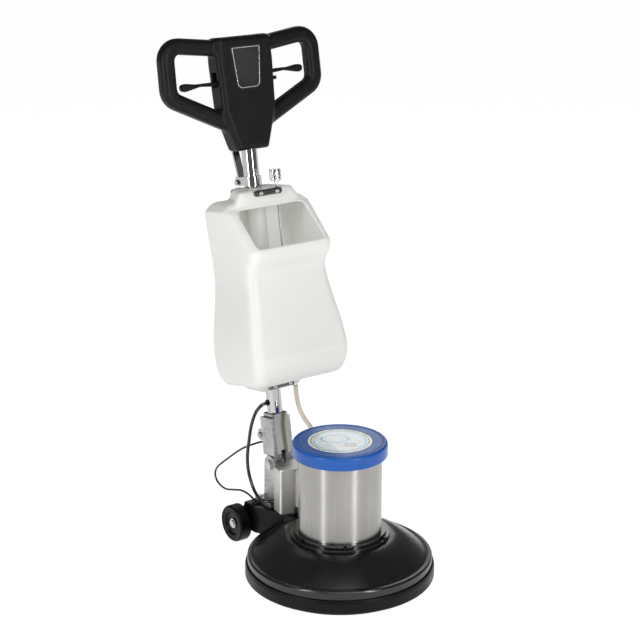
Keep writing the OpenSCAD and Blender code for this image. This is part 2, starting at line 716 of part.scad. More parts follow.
// Tank
function swell(a, b, t) = a + (b - a) * (1 - cos(180 * t)) / 2;
function tank_side(i) = let (n = curve_steps) concat(
    [[tank_rear - i, tank_z + 22], [tank_rear - 16, tank_z + i]],
    [for (k = [0 : n]) let (a = 90 * k / n)
        [-(tank_front - 46 - i + 46 * sin(a)), bulge_z - (80 - i) * cos(a)]],
    [for (k = [1 : n]) [-swell(tank_front - i, waist_front - i, k / n), swell(bulge_z, waist_z, k / n)]],
    [for (k = [1 : n]) [-swell(waist_front - i, lip_front - i, k / n),
        waist_z + (lip_z - 10 - waist_z) * k / n]],
    [[i - lip_front, lip_z - 1.4 * i], [i - ridge_front, ridge_low - 1.4 * i],
    [i - ridge_front, tank_top - 6 - i], [6 + i - ridge_front, tank_top - i],
    [tank_rear - 8 - i, tank_top - i], [tank_rear - i, tank_top - 8 - i]]);
function tank_edge(i) = let (n = curve_steps) concat(
    [for (k = [0 : n]) let (a = 90 * k / n)
        [tank_half_w - 26 - i + 26 * sin(a), bulge_z - (80 - i) * cos(a)]],
    [for (k = [1 : n])
        [swell(tank_half_w - i, waist_half_w - i, k / n), bulge_z + (waist_z - bulge_z) * k / n]],
    [for (k = [1 : n]) [swell(waist_half_w - i, shoulder_half_w - i, k / n),
        waist_z + (shoulder_z - i - waist_z) * k / n]],
    [[(shoulder_half_w + ridge_foot_w) / 2 - i, (shoulder_z + ridge_foot_z) / 2 - i / 2],
    [ridge_foot_w - i, ridge_foot_z - i], [ridge_half_w - i, tank_top - i]]);

module tank_form(i) difference() {
    intersection() {
        along_x(2 * tank_half_w) polygon(tank_side(i));
        along_y(-tank_front, tank_rear) polygon(let (e = tank_edge(i))
            concat(e, [for (k = [len(e) - 1 : -1 : 0]) [-e[k][0], e[k][1]]]));
    }
    for (s = [0, 1]) mirror([s, 0, 0]) translate([0, 0, ridge_foot_z - i]) linear_extrude(60)
        polygon([[ridge_foot_w - i, -ridge_front - 10], [ridge_rear_w - i, tank_rear + 1],
            [tank_half_w, tank_rear + 1], [tank_half_w, -ridge_front - 10]]);
}

module tank_channel(r) {
    translate([0, 0, tank_z - neck_h - 1]) cylinder(r = r, h = tank_h + neck_h + 2);
    translate([-r, 0, tank_z - neck_h - 1]) cube([2 * r, tank_rear + 1, tank_h + neck_h + 2]);
}

module mouth_prism() {
    run = lip_front - ridge_front;
    rise = ridge_low - lip_z;
    half = norm([run, rise]) / 2 - 7;
    translate([0, -(lip_front + ridge_front) / 2, (lip_z + ridge_low) / 2])
        rotate([-atan2(run, rise) + 90, 0, 0]) linear_extrude(90, center = true) {
            square([2 * mouth_half_w, 2 * (half - mouth_corner)], center = true);
            square([2 * (mouth_half_w - mouth_corner), 2 * half], center = true);
            for (x = [-1, 1]) for (y = [-1, 1])
                translate([x * (mouth_half_w - mouth_corner), y * (half - mouth_corner)])
                    circle(r = mouth_corner);
        }
}

module tank() color("#f1f2ee") in_column() difference() {
    union() {
        tank_form(0);
        along_y(22 - ridge_front, tank_rear) polygon([[-neck_top_w, tank_z + tank_wall],
            [-neck_half_w, tank_z - neck_h], [neck_half_w, tank_z - neck_h],
            [neck_top_w, tank_z + tank_wall]]);
    }
    difference() {
        tank_form(tank_wall);
        tank_channel(channel_r + tank_wall);
        for (z = [clamp_lower_z, clamp_upper_z]) for (s = [-1, 1])
            translate([s * clamp_half, 0, z]) rotate([90, 0, 0])
                cylinder(r = clamp_bolt_r + 4, h = 200, center = true);
    }
    mouth_prism();
    tank_channel(channel_r);
    clamp_holes();
    at_valve(tank_z - 1) cylinder(r = valve_r, h = 40);
    at_valve(tank_z - neck_h - 1) cylinder(r = valve_nut_r + free_gap, h = neck_h + 1);
    at_valve(tank_top - 20) cylinder(r = valve_rod_r + 3, h = 40);
}

module clamp_holes() for (z = [clamp_lower_z, clamp_upper_z]) for (s = [-1, 1])
    translate([s * clamp_half, 0, z]) rotate([90, 0, 0])
        cylinder(r = clamp_bolt_r, h = 300, center = true);

function clamp_front(z) = z > tank_z ? ridge_front : ridge_front - 22;

// Two front strips and two rear saddles that press the tank's channel onto the tube
module tank_clamps() color("#3b3c3e") in_column() difference() {
    for (z = [clamp_lower_z, clamp_upper_z]) {
        translate([0, -clamp_front(z) - strip_t, z]) strip();
        translate([0, tank_rear, z]) strip();
        translate([-12, tube_r, z - strip_h / 2]) cube([24, tank_rear - tube_r + EPS, strip_h]);
    }
    clamp_holes();
    translate([0, 0, tank_z - 40]) cylinder(r = tube_r, h = tank_h + 60);
}

module strip() along_y(0, strip_t) {
    square([2 * strip_half_w - strip_h, strip_h], center = true);
    for (s = [-1, 1]) translate([s * (strip_half_w - strip_h / 2), 0]) circle(r = strip_h / 2);
}

module clamp_bolts() color("#dcdddc") in_column() for (z = [clamp_lower_z, clamp_upper_z])
    for (s = [-1, 1]) translate([s * clamp_half, 0, z]) rotate([90, 0, 0]) {
        front = clamp_front(z) + strip_t;
        translate([0, 0, -tank_rear - strip_t]) cylinder(r = clamp_bolt_r, h = front + tank_rear + strip_t + 2);
        translate([0, 0, front]) rotate([0, 0, 30]) cylinder(r = 6.3, h = 5, $fn = 6);
        translate([0, 0, front + 4.5]) intersection() {
            sphere(r = 5);
            translate([-6, -6, 0]) cube([12, 12, 6]);
        }
        translate([0, 0, -tank_rear - strip_t - 4]) cylinder(r = 6.3, h = 4, $fn = 6);
    }

// Valve: an outlet with a seat in the tank's floor and a lifting rod with a plunger and a knob
module at_valve(z) translate([valve_x, -valve_front, z]) children();

module valve_body() color("#8b8d8f") in_column() difference() {
    union() {
        at_valve(tank_z + tank_wall) cylinder(r = valve_nut_r, h = 3);
        at_valve(tank_z - 4.5) cylinder(r = valve_r, h = tank_wall + 4.5 + EPS);
        at_valve(tank_z - 4.5) ring(valve_nut_r, valve_r - EPS, 4.5);
        at_valve(tank_z - 20) cylinder(r = hose_r - 0.5, h = 16);
    }
    at_valve(tank_z - 21) cylinder(r = hose_r - 2.5, h = 40);
}

module valve_rod() color("#d2d4d5") in_column() {
    at_valve(tank_z + tank_wall + 3.3) cylinder(r = valve_r, h = 8);
    at_valve(tank_z + tank_wall + 8) cylinder(r = valve_rod_r, h = knob_z - tank_z - tank_wall);
    at_valve(knob_z - 6) cylinder(r = valve_rod_r + 2, h = 7);
    at_valve(knob_z) difference() {
        cylinder(r = knob_r, h = knob_h);
        around(flutes, knob_r + 1) cylinder(r = 2.4, h = knob_h * 0.8, $fn = 16);
    }
}

// Lever bracket, adjusting lever and the rod that locks the tilt
module lever_bracket() color("#c9cacb") in_column() difference() {
    union() {
        translate([0, 0, lever_z - 6]) cylinder(r = tube_r + 4, h = 22);
        for (s = [-1, 1]) translate([s > 0 ? 10 : -14, tube_r - 4, lever_z - 6])
            cube([4, lever_y - tube_r + 12, 20]);
    }
    translate([0, 0, lever_z - 20]) cylinder(r = tube_r, h = 60);
    translate([-9.99, 0, lever_z - 15]) cube([19.98, 60, 40]);
    translate([0, lever_y, lever_z]) round_rod(bolt8_r, -20, 20);
}

module adjusting_lever() color("#d5d6d4") in_column() translate([0, lever_y, lever_z]) difference() {
    union() {
        round_rod(9, -9.5, 9.5);
        translate([-4.5, 5 - lever_y, 0]) cube([9, lever_y - 5, 7.6]);
        rotate([-lever_slope, 0, 0]) {
            translate([-9, -3, 0]) cube([18, 6, lever_len]);
            translate([-11, -6, lever_len - 80]) cube([22, 12, 84]);
        }
    }
    round_rod(bolt8_r + run_gap, -20, 20);
}

module lock_rod() color("#b9bbbd") in_column() {
    translate([0, 0, sector_r + 0.5]) cylinder(r = lock_pin_r, h = 32);
    translate([0, 0, sector_r + 32]) cylinder(r = rod_r, h = lever_z + 16 - sector_r - 32);
    translate([0, 0, lever_z + 8]) cylinder(r = 9, h = 6);
}

// Handle: two shells with twin loops, split across the middle of their thickness
loop_path = [[40, loop_top - 9], [loop_reach, loop_top + 12], [loop_reach + 2, column_len - 128],
    [30, column_len - 212]];

// Points along a path in the X-Z plane with its corners rounded, and the outline of a bar along them
function corner_arc(p, i, bend, n = 8) =
    let (d = unit(p[i] - p[i - 1]), turn = acos(d * unit(p[i + 1] - p[i])),
        a = p[i] - bend * tan(turn / 2) * d, c = a + bend * [d[1], -d[0]], s = atan2(d[0], -d[1]))
    [for (k = [0 : n]) c + bend * [cos(s - turn * k / n), sin(s - turn * k / n)]];
function rounded_path(p, bend) = concat([p[0]], [for (i = [1 : len(p) - 2]) each corner_arc(p, i, bend)],
    [p[len(p) - 1]]);
function beside(q, i) = let (h = heading(q, i)) [-h[1], h[0]];
function bar_outline(q, r) = concat([for (i = [0 : len(q) - 1]) q[i] + r * beside(q, i)],
    [for (i = [len(q) - 1 : -1 : 0]) q[i] - r * beside(q, i)]);

module loops(r) for (s = [0, 1]) mirror([s, 0]) polygon(bar_outline(rounded_path(loop_path, loop_bend), r));

module housing_outline(i) {
    half = [[44 - i, housing_bottom], [57 - i, housing_bottom + 40], [74 - i, column_len - 170],
        [78 - i, column_len - 60], [76 - i, housing_top - 8 - i], [68 - i, housing_top - i]];
    polygon(concat(half, [for (k = [len(half) - 1 : -1 : 0]) [-half[k][0], half[k][1]]]));
}

module lever_slot(s, z) translate([s > 0 ? 60 : -100, -switch_lever_w / 2 - 1, z - 7])
    cube([40, switch_lever_w + 2, 34]);

module handle_shell(side) difference() {
    union() {
        along_y(side < 0 ? -housing_depth : 0, side < 0 ? 0 : housing_depth) housing_outline(0);
        along_y(side < 0 ? -grip_r : 0, side < 0 ? 0 : grip_r) loops(grip_r);
    }
    along_y(shell_wall - grip_r, grip_r - shell_wall) loops(grip_r - shell_wall);
    along_y(shell_wall - housing_depth, housing_depth - shell_wall) difference() {
        housing_outline(shell_wall);
        translate([-60, housing_bottom - 1]) square([120, shell_wall + 1]);
        for (z = rib_heights) translate([-24, z]) square([48, shell_wall]);
    }
    translate([0, 0, housing_bottom - 1]) cylinder(r = tube_r + 0.1, h = tube_top - housing_bottom + 2);
    lever_slot(-1, left_lever_z);
    lever_slot(1, right_lever_z);
}

module handle_front() color("#1d1d1f") in_column() difference() {
    handle_shell(-1);
    translate([0, -button_y, button_z]) round_rod(button_r + 0.4, 60, 90);
}

module handle_rear() color("#1d1d1f") in_column() {
    difference() {
        handle_shell(1);
        at_mains() rotate([-90, 0, 0]) cylinder(r = mains_r, h = 20, center = true);
    }
    for (s = [-1, 1]) {
        lever_hub(s) rotate([90, 0, 0]) translate([0, 0, shell_wall - housing_depth - EPS])
            cylinder(r = lever_pin_r, h = 36);
        at_micro(s) translate([4, micro_t / 2, 12])
            cube([micro_w - 8, housing_depth - shell_wall - micro_t / 2 + EPS, 16]);
    }
}

module lever_hub(s) translate([s * lever_pin_x, 0, s < 0 ? left_lever_z : right_lever_z]) children();

module at_mains() translate([-36, housing_depth, column_len - 60]) children();

module handle_badge() color("#2a2b2d") in_column() along_y(-housing_depth - badge_t, -housing_depth)
    translate([0, column_len - 130]) polygon([[-42, 102], [-37, 107], [37, 107], [42, 102], [34, 16],
        [22, 6], [-22, 6], [-34, 16]]);

// Switch box, its two levers and the lock-off button
module at_micro(s) translate([s > 0 ? micro_x : -micro_x - micro_w, 0,
    (s < 0 ? left_lever_z : right_lever_z) - micro_drop - micro_h]) children();

module microswitches() color("#303133") in_column() for (s = [-1, 1]) at_micro(s) {
    translate([0, -micro_t / 2, 0]) cube([micro_w, micro_t, micro_h]);
    translate([s > 0 ? micro_w - 3 : 3, 0, micro_h - EPS]) cylinder(r = 2.5, h = 4);
}

module switch_lever(s) in_column() lever_hub(s) mirror([s > 0 ? 0 : 1, 0, 0]) difference() {
    along_y(-switch_lever_w / 2, switch_lever_w / 2) polygon([[-10, -5], [-6, 6], [22, 5], [100, 9],
        [110, 7], [114, 1], [112, -7], [104, -10], [92, -8], [62, -2], [40, -4], [10, -6]]);
    rotate([90, 0, 0]) cylinder(r = lever_pin_r + run_gap, h = 40, center = true);
}

module left_lever() color("#1b1b1d") switch_lever(-1);
module right_lever() color("#1b1b1d") switch_lever(1);

module safety_button() color("#101012") in_column() translate([0, -button_y, button_z]) {
    round_rod(button_r, 64, 86);
    round_rod(button_r + 1.7, 67, 70);
}

// Cords
module motor_cable() color("#121214") cord(MOTOR_ROUTE, cable_r, 3, 10);
module accessory_cable() color("#121214") cord(THIN_ROUTE, thin_r, 2, 8);
module water_hose() color("#b9b19c") cord(HOSE_ROUTE, hose_r, 2, 10);

shroud();
bumper();
floor_bolts();
motor_collar();
motor_plate();
motor_housing();
motor_cap();
cap_label();
end_shield();
stator_core();
stator_windings();
tie_bolts();
bearings();
gear_case();
ring_gear();
capacitor_box();
capacitors();
wheel_bracket();
axle();
axle_clips();
base_yoke();
yoke_bolts();
pivot_bolt();
hose_inlet();
cable_glands();
rotor_core();
rotor_shaft();
cooling_fan();
output_carrier();
clutch_plate();
pad_driver();
floor_pad();
planet_gear_1();
planet_gear_2();
planet_gear_3();
left_wheel();
right_wheel();
column_tube();
column_socket();
column_foot();
column_bolts();
tank();
tank_clamps();
clamp_bolts();
valve_body();
handle_front();
handle_rear();
handle_badge();
cable_bushings();
lever_bracket();
microswitches();
left_lever();
right_lever();
safety_button();
adjusting_lever();
lock_rod();
valve_rod();
motor_cable();
accessory_cable();
water_hose();
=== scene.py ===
"""Looks for the rotary floor machine.

Lengths in the shape helpers are millimetres, and the scene is in metres.
"""

import math

import bmesh
import bpy
import numpy as np
from mathutils import Matrix, Vector


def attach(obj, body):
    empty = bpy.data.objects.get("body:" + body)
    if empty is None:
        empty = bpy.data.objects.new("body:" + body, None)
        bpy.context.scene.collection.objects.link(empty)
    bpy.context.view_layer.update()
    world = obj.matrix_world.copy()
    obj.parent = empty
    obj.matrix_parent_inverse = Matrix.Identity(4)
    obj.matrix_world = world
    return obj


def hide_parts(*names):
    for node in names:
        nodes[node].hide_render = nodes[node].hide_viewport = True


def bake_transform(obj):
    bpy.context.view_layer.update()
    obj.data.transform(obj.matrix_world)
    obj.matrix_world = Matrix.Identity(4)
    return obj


MM = 0.001
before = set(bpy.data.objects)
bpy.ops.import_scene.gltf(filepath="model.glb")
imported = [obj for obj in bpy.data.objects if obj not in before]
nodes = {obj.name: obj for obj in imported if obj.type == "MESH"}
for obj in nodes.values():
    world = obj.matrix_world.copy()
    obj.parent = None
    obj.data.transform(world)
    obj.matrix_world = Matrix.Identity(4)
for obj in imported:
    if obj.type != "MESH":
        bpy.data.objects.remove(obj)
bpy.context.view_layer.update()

# The column's frame: Z runs up the tube from the pivot, Y to the rear
PIVOT_Y, PIVOT_Z, LEAN = 246.0, 210.0, math.radians(9)
COLUMN = Matrix.Translation((0, PIVOT_Y, PIVOT_Z)) @ Matrix.Rotation(-LEAN, 4, "X")
WORLD = Matrix.Identity(4)
CAMERA_AZ = -36.7


# ---------------------------------------------------------------- camera
def look(obj, place, target):
    obj.location = Vector(place)
    obj.rotation_euler = (Vector(target) - Vector(place)).to_track_quat("-Z", "Y").to_euler()


camera = bpy.data.objects.new("camera", bpy.data.cameras.new("camera"))
bpy.context.scene.collection.objects.link(camera)
camera.data.sensor_width = 36
camera.data.lens = 98.44
camera.data.clip_end = 60
look(camera, (-2.2692, -3.0459, 1.8433), (-0.05755, 0, 0.65077))
bpy.context.scene.camera = camera


# ---------------------------------------------------------------- materials
class Nodes:
    """A small builder for one material's node tree."""

    def __init__(self, name):
        self.mat = bpy.data.materials.new(name)
        self.mat.use_nodes = True
        self.tree = self.mat.node_tree
        self.bsdf = self.tree.nodes["Principled BSDF"]
        self.out = self.tree.nodes["Material Output"]

    def add(self, kind, **values):
        n = self.tree.nodes.new("ShaderNode" + kind)
        for k, v in values.items():
            setattr(n, k, v)
        return n

    def link(self, a, b):
        self.tree.links.new(a, b)

    def put(self, socket, value):
        if isinstance(value, bpy.types.NodeSocket):
            self.link(value, socket)
        else:
            socket.default_value = value

    def math(self, op, a, b=0.0, c=0.0):
        n = self.add("Math", operation=op)
        for s, v in zip(n.inputs, (a, b, c)):
            self.put(s, v)
        return n.outputs[0]

    def length(self, a, b):
        return self.math("SQRT", self.math("ADD", self.math("MULTIPLY", a, a), self.math("MULTIPLY", b, b)))

    def place(self):
        return self.add("TexCoord").outputs["Object"]

    def axes(self, scale=(1, 1, 1)):
        m = self.add("Mapping")
        self.link(self.place(), m.inputs["Vector"])
        m.inputs["Scale"].default_value = scale
        return m.outputs[0]

    def noise(self, scale, detail=4.0, rough=0.55, vector=None):
        n = self.add("TexNoise")
        self.link(vector if vector is not None else self.place(), n.inputs["Vector"])
        n.inputs["Scale"].default_value = scale
        n.inputs["Detail"].default_value = detail
        n.inputs["Roughness"].default_value = rough
        return n.outputs["Fac"]

    def cells(self, scale, vector=None):
        n = self.add("TexVoronoi")
        self.link(vector if vector is not None else self.place(), n.inputs["Vector"])
        n.inputs["Scale"].default_value = scale
        return n.outputs["Distance"]

    def span(self, value, low, high, a=0.0, b=1.0):
        n = self.add("MapRange", interpolation_type="SMOOTHSTEP")
        self.link(value, n.inputs["Value"])
        for key, v in (("From Min", a), ("From Max", b), ("To Min", low), ("To Max", high)):
            n.inputs[key].default_value = v
        return n.outputs["Result"]

    def mix(self, fac, a, b):
        n = self.add("Mix", data_type="RGBA")
        self.put(n.inputs["Factor"], fac)
        self.put(n.inputs["A"], a if not isinstance(a, tuple) else rgba(a))
        self.put(n.inputs["B"], b if not isinstance(b, tuple) else rgba(b))
        return n.outputs["Result"]

    def bump(self, height, distance, strength=1.0, after=None):
        n = self.add("Bump")
        n.inputs["Distance"].default_value = distance
        n.inputs["Strength"].default_value = strength
        self.link(height, n.inputs["Height"])
        if after is not None:
            self.link(after, n.inputs["Normal"])
        return n.outputs[0]

    def finish(self, color, rough, metal=0.0, normal=None, **extra):
        self.put(self.bsdf.inputs["Base Color"], rgba(color) if isinstance(color, tuple) else color)
        self.put(self.bsdf.inputs["Roughness"], rough)
        self.bsdf.inputs["Metallic"].default_value = metal
        if normal is not None:
            self.link(normal, self.bsdf.inputs["Normal"])
        for k, v in extra.items():
            self.bsdf.inputs[k.replace("_", " ")].default_value = v
        return self.mat


def rgba(c):
    return tuple(c) + ((1.0,) if len(c) == 3 else ())


def textured_plastic(name, color, rough=0.42, grain=900.0, depth=0.00006, seam=False):
    """seam draws the line where the two handle shells meet, in the column's mid-plane."""
    n = Nodes(name)
    height = n.noise(grain, 3.0)
    tone = n.span(n.noise(14.0, 5.0), 0.85, 1.2)
    shade = n.mix(n.span(n.noise(60.0, 3.0), 0.0, 1.0, 0.35, 0.7), color, tuple(v * 1.45 for v in color))
    normal = n.bump(height, depth)
    if seam:
        p = n.add("SeparateXYZ")
        n.link(n.place(), p.inputs[0])
        y = n.math("SUBTRACT", p.outputs["Y"], PIVOT_Y * MM)
        z = n.math("SUBTRACT", p.outputs["Z"], PIVOT_Z * MM)
        level, rise = n.math("MULTIPLY", y, math.cos(LEAN)), n.math("MULTIPLY", z, math.sin(LEAN))
        across = n.math("SUBTRACT", level, rise)
        line = n.span(n.math("ABSOLUTE", across), 0.0, 1.0, 0.0002, 0.0009)
        normal = n.bump(line, 0.0007, 1.0, normal)
    r = n.math("MULTIPLY", tone, rough)
    return n.finish(shade, r, 0.0, normal, Specular_IOR_Level=0.16)


def gloss(name, color, rough=0.12, coat=0.6, grain=700.0, depth=0.00001, wave=0.0, shine=0.5):
    """wave is the height of the broad ripple in a moulded or painted skin."""
    n = Nodes(name)
    dust = n.span(n.noise(9.0, 6.0), rough * 0.8, rough * 1.5, 0.3, 0.7)
    normal = n.bump(n.noise(grain, 2.0), depth)
    if wave:
        normal = n.bump(n.noise(22.0, 2.0), wave, 1.0, normal)
    shade = n.mix(n.span(n.noise(40.0, 4.0), 0.0, 0.5), color, tuple(min(1, v * 1.25 + 0.001) for v in color))
    return n.finish(shade, dust, 0.0, normal, Coat_Weight=coat, Coat_Roughness=rough * 0.6,
                    Specular_IOR_Level=shine)


def metal(name, color, rough=0.12, streak=None, depth=0.0, anisotropy=0.0, vary=0.35):
    """streak stretches the grain along one axis, for drawn or brushed stock."""
    n = Nodes(name)
    v = n.axes(streak) if streak else n.place()
    grain = n.noise(260.0, 5.0, 0.6, v)
    r = n.span(grain, rough * (1 - vary), rough * (1 + vary), 0.3, 0.7)
    cloud = n.span(n.noise(6.0, 4.0), 0.0, 1.0, 0.3, 0.7)
    shade = n.mix(cloud, color, tuple(c * 0.9 for c in color))
    normal = n.bump(grain, depth) if depth else None
    if anisotropy:
        t = n.add("Tangent", direction_type="RADIAL", axis="Z")
        n.link(t.outputs[0], n.bsdf.inputs["Tangent"])
    turn = 0.25 if anisotropy else 0.0
    return n.finish(shade, r, 1.0, normal, Anisotropic=anisotropy, Anisotropic_Rotation=turn)


def cast_metal(name, color, rough=0.4, size=420.0, depth=0.0004):
    """The skin of a sand casting: small pits over broad lumps."""
    n = Nodes(name)
    pits = n.cells(size)
    lumps = n.noise(130.0, 6.0, 0.65)
    height = n.math("ADD", n.math("MULTIPLY", pits, 0.5), lumps)
    shade = n.mix(n.span(lumps, 0.0, 1.0, 0.35, 0.65), tuple(c * 0.72 for c in color), color)
    r = n.span(n.noise(300.0, 3.0), rough * 0.7, rough * 1.4, 0.3, 0.7)
    return n.finish(shade, r, 0.95, n.bump(height, depth))


def rubber(name, color, rough=0.6):
    n = Nodes(name)
    dust = n.span(n.noise(18.0, 6.0, 0.7), 0.0, 0.6, 0.45, 0.8)
    shade = n.mix(dust, color, tuple(c * 1.6 + 0.002 for c in color))
    r = n.span(n.noise(30.0, 4.0), rough * 0.85, rough * 1.15, 0.3, 0.7)
    return n.finish(shade, r, 0.0, n.bump(n.noise(1100.0, 2.0), 0.00005), Specular_IOR_Level=0.14)


def milky_plastic(name):
    """Blow-moulded white polyethylene: light passes into it, and its skin has a faint ripple."""
    n = Nodes(name)
    tone = n.span(n.noise(4.0, 3.0), 0.0, 1.0, 0.3, 0.7)
    shade = n.mix(tone, (0.88, 0.882, 0.86), (0.915, 0.917, 0.895))
    ripple = n.bump(n.noise(16.0, 3.0, 0.5), 0.0011)
    normal = n.bump(n.noise(800.0, 2.0), 0.00003, 1.0, ripple)
    n.finish(shade, n.span(n.noise(25.0, 3.0), 0.27, 0.4), 0.0, normal, Specular_IOR_Level=0.42)
    glow = n.add("BsdfTranslucent")
    glow.inputs["Color"].default_value = (0.97, 0.97, 0.94, 1)
    n.link(ripple, glow.inputs["Normal"])
    blend = n.add("MixShader")
    blend.inputs[0].default_value = 0.42
    n.link(n.bsdf.outputs[0], blend.inputs[1])
    n.link(glow.outputs[0], blend.inputs[2])
    n.link(blend.outputs[0], n.out.inputs["Surface"])
    return n.mat


def label_print(name):
    """A generic round label: plain rings round a pale middle with a few bars."""
    n = Nodes(name)
    p = n.add("SeparateXYZ")
    n.link(n.place(), p.inputs[0])
    x, y = p.outputs["X"], p.outputs["Y"]
    r = n.length(x, y)
    silver = n.mix(n.span(n.noise(1500.0, 2.0), 0.0, 1.0), (0.74, 0.79, 0.8), (0.85, 0.88, 0.89))
    shade = silver

    def band(a, b, color):
        nonlocal shade
        past_a = n.span(r, 0.0, 1.0, a - 0.0003, a + 0.0003)
        before_b = n.span(r, 1.0, 0.0, b - 0.0003, b + 0.0003)
        inside = n.math("MULTIPLY", past_a, before_b)
        shade = n.mix(inside, shade, color)

    band(0.0595, 0.0635, (0.2, 0.62, 0.78))
    band(0.0635, 0.066, (0.9, 0.91, 0.88))
    band(0.066, 0.0705, (0.36, 0.35, 0.13))
    band(0.0705, 0.08, (0.92, 0.92, 0.89))
    # A plain loop and three bars, turned to face the front-left
    ca, sa = math.cos(math.radians(CAMERA_AZ)), math.sin(math.radians(CAMERA_AZ))
    u = n.math("ADD", n.math("MULTIPLY", x, ca), n.math("MULTIPLY", y, sa))
    v = n.math("SUBTRACT", n.math("MULTIPLY", y, ca), n.math("MULTIPLY", x, sa))
    du = n.math("DIVIDE", n.math("ADD", u, 0.012), 0.032)
    dv = n.math("DIVIDE", n.math("SUBTRACT", v, 0.012), 0.023)
    loop = n.math("ABSOLUTE", n.math("SUBTRACT", n.length(du, dv), 1.0))
    shade = n.mix(n.span(loop, 1.0, 0.0, 0.05, 0.09), shade, (0.12, 0.5, 0.72))
    for k in range(3):
        along = n.span(n.math("ABSOLUTE", n.math("SUBTRACT", u, 0.024)), 1.0, 0.0, 0.0135, 0.0142)
        across = n.span(n.math("ABSOLUTE", n.math("ADD", v, 0.018 + 0.008 * k)), 1.0, 0.0, 0.0016, 0.0022)
        shade = n.mix(n.math("MULTIPLY", along, across), shade, (0.33, 0.3, 0.1))
    rough = n.span(n.noise(60.0, 2.0), 0.22, 0.34)
    return n.finish(shade, rough, 0.0, n.bump(n.noise(900.0, 2.0), 0.00002), Coat_Weight=0.4)


M = dict(
    nylon=textured_plastic("mat_black_nylon", (0.005, 0.005, 0.0054), 0.42, seam=True),
    shell=gloss("mat_black_enamel", (0.0035, 0.0035, 0.0038), 0.24, 0.15, wave=0.0004),
    collar=gloss("mat_black_collar", (0.006, 0.006, 0.0065), 0.2, 0.5),
    rubber=rubber("mat_black_rubber", (0.0035, 0.0035, 0.0037), 0.38),
    tyre=rubber("mat_tyre", (0.003, 0.003, 0.0032), 0.38),
    hub=textured_plastic("mat_wheel_hub", (0.004, 0.004, 0.0043), 0.3, 600.0),
    paint=gloss("mat_black_paint", (0.002, 0.002, 0.0022), 0.22, 0.0, 300.0, 0.00004, shine=0.16),
    stainless=metal("mat_stainless", (0.42, 0.41, 0.385), 0.3, (1, 1, 0.03), 0.0, 0.9, 0.12),
    box=metal("mat_box_steel", (0.7, 0.69, 0.66), 0.5, (1, 1, 0.03), 0.0, 0.6, 0.12),
    channel=metal("mat_channel", (0.33, 0.33, 0.325), 0.12, (1, 1, 0.05)),
    blue=gloss("mat_blue_cap", (0.008, 0.078, 0.33), 0.24, 0.1, 1400.0, 0.00005, shine=0.3),
    label=label_print("mat_label"),
    cast=cast_metal("mat_cast", (0.6, 0.6, 0.6)),
    knuckle=cast_metal("mat_knuckle", (0.72, 0.72, 0.72), 0.3, 200.0, 0.0001),
    chrome=metal("mat_chrome", (0.52, 0.51, 0.5), 0.06, (1, 1, 0.05)),
    steel=metal("mat_steel", (0.56, 0.56, 0.56), 0.25),
    strip=metal("mat_clamp_steel", (0.2, 0.2, 0.205), 0.22),
    dark=metal("mat_laminations", (0.3, 0.3, 0.31), 0.4, (1, 1, 30)),
    copper=metal("mat_copper", (0.75, 0.33, 0.14), 0.3, (1, 1, 8)),
    bronze=metal("mat_bronze", (0.7, 0.52, 0.25), 0.3),
    white=textured_plastic("mat_capacitor", (0.62, 0.62, 0.58), 0.4),
    grey=textured_plastic("mat_grey_plastic", (0.05, 0.055, 0.06), 0.4),
    pad=rubber("mat_pad", (0.02, 0.021, 0.022), 0.9),
    milky=milky_plastic("mat_milky"),
    hose=gloss("mat_hose", (0.5, 0.45, 0.34), 0.3, 0.3),
    cable=gloss("mat_cable", (0.006, 0.006, 0.0065), 0.2, 0.4),
    badge=gloss("mat_badge", (0.012, 0.012, 0.013), 0.25, 0.3),
    line=metal("mat_badge_line", (0.7, 0.7, 0.7), 0.3),
)


# ---------------------------------------------------------------- meshes
def new_mesh(name, verts, faces, mat, to=WORLD):
    """Points in millimetres in the frame `to`, made into one smooth object in metres."""
    v = np.asarray(verts, float)
    rot = np.array(to.to_3x3())
    v = (v @ rot.T + np.array(to.translation)) * MM
    mesh = bpy.data.meshes.new(name)
    mesh.from_pydata(v.tolist(), [], [list(map(int, f)) for f in faces])
    mesh.polygons.foreach_set("use_smooth", np.ones(len(mesh.polygons), bool))
    mesh.update()
    obj = bpy.data.objects.new(name, mesh)
    bpy.context.scene.collection.objects.link(obj)
    mesh.materials.append(mat)
    return obj


def finish_edges(obj, width=0.0, angle=35, segments=3, weld=False):
    if weld:
        w = obj.modifiers.new("weld", "WELD")
        w.merge_threshold = 0.00002
    if width:
        b = obj.modifiers.new("bevel", "BEVEL")
        b.width, b.segments, b.limit_method = width * MM, segments, "ANGLE"
        b.angle_limit = math.radians(angle)
    n = obj.modifiers.new("normals", "WEIGHTED_NORMAL")
    n.keep_sharp = False
    return obj


def fillet(points, closed=True, steps=6):
    """Points are (x, y) or (x, y, radius); the ones with a radius are rounded."""
    out = []
    count = len(points)
    for i, p in enumerate(points):
        r = p[2] if len(p) > 2 else 0
        if not r or (not closed and i in (0, count - 1)):
            out.append(tuple(p[:2]))
            continue
        c = np.array(p[:2], float)
        a = np.array(points[i - 1][:2], float) - c
        b = np.array(points[(i + 1) % count][:2], float) - c
        la, lb = np.linalg.norm(a), np.linalg.norm(b)
        a, b = a / la, b / lb
        half = math.acos(max(-1, min(1, float(a @ b)))) / 2
        cut = min(r / math.tan(half), la * 0.49, lb * 0.49)
        r = cut * math.tan(half)
        mid = c + (a + b) / np.linalg.norm(a + b) * (r / math.sin(half))
        p0, p1 = c + a * cut - mid, c + b * cut - mid
        a0 = math.atan2(p0[1], p0[0])
        turn = (math.atan2(p1[1], p1[0]) - a0 + math.pi) % (2 * math.pi) - math.pi
        for k in range(steps + 1):
            t = a0 + turn * k / steps
            out.append((mid[0] + r * math.cos(t), mid[1] + r * math.sin(t)))
    return out


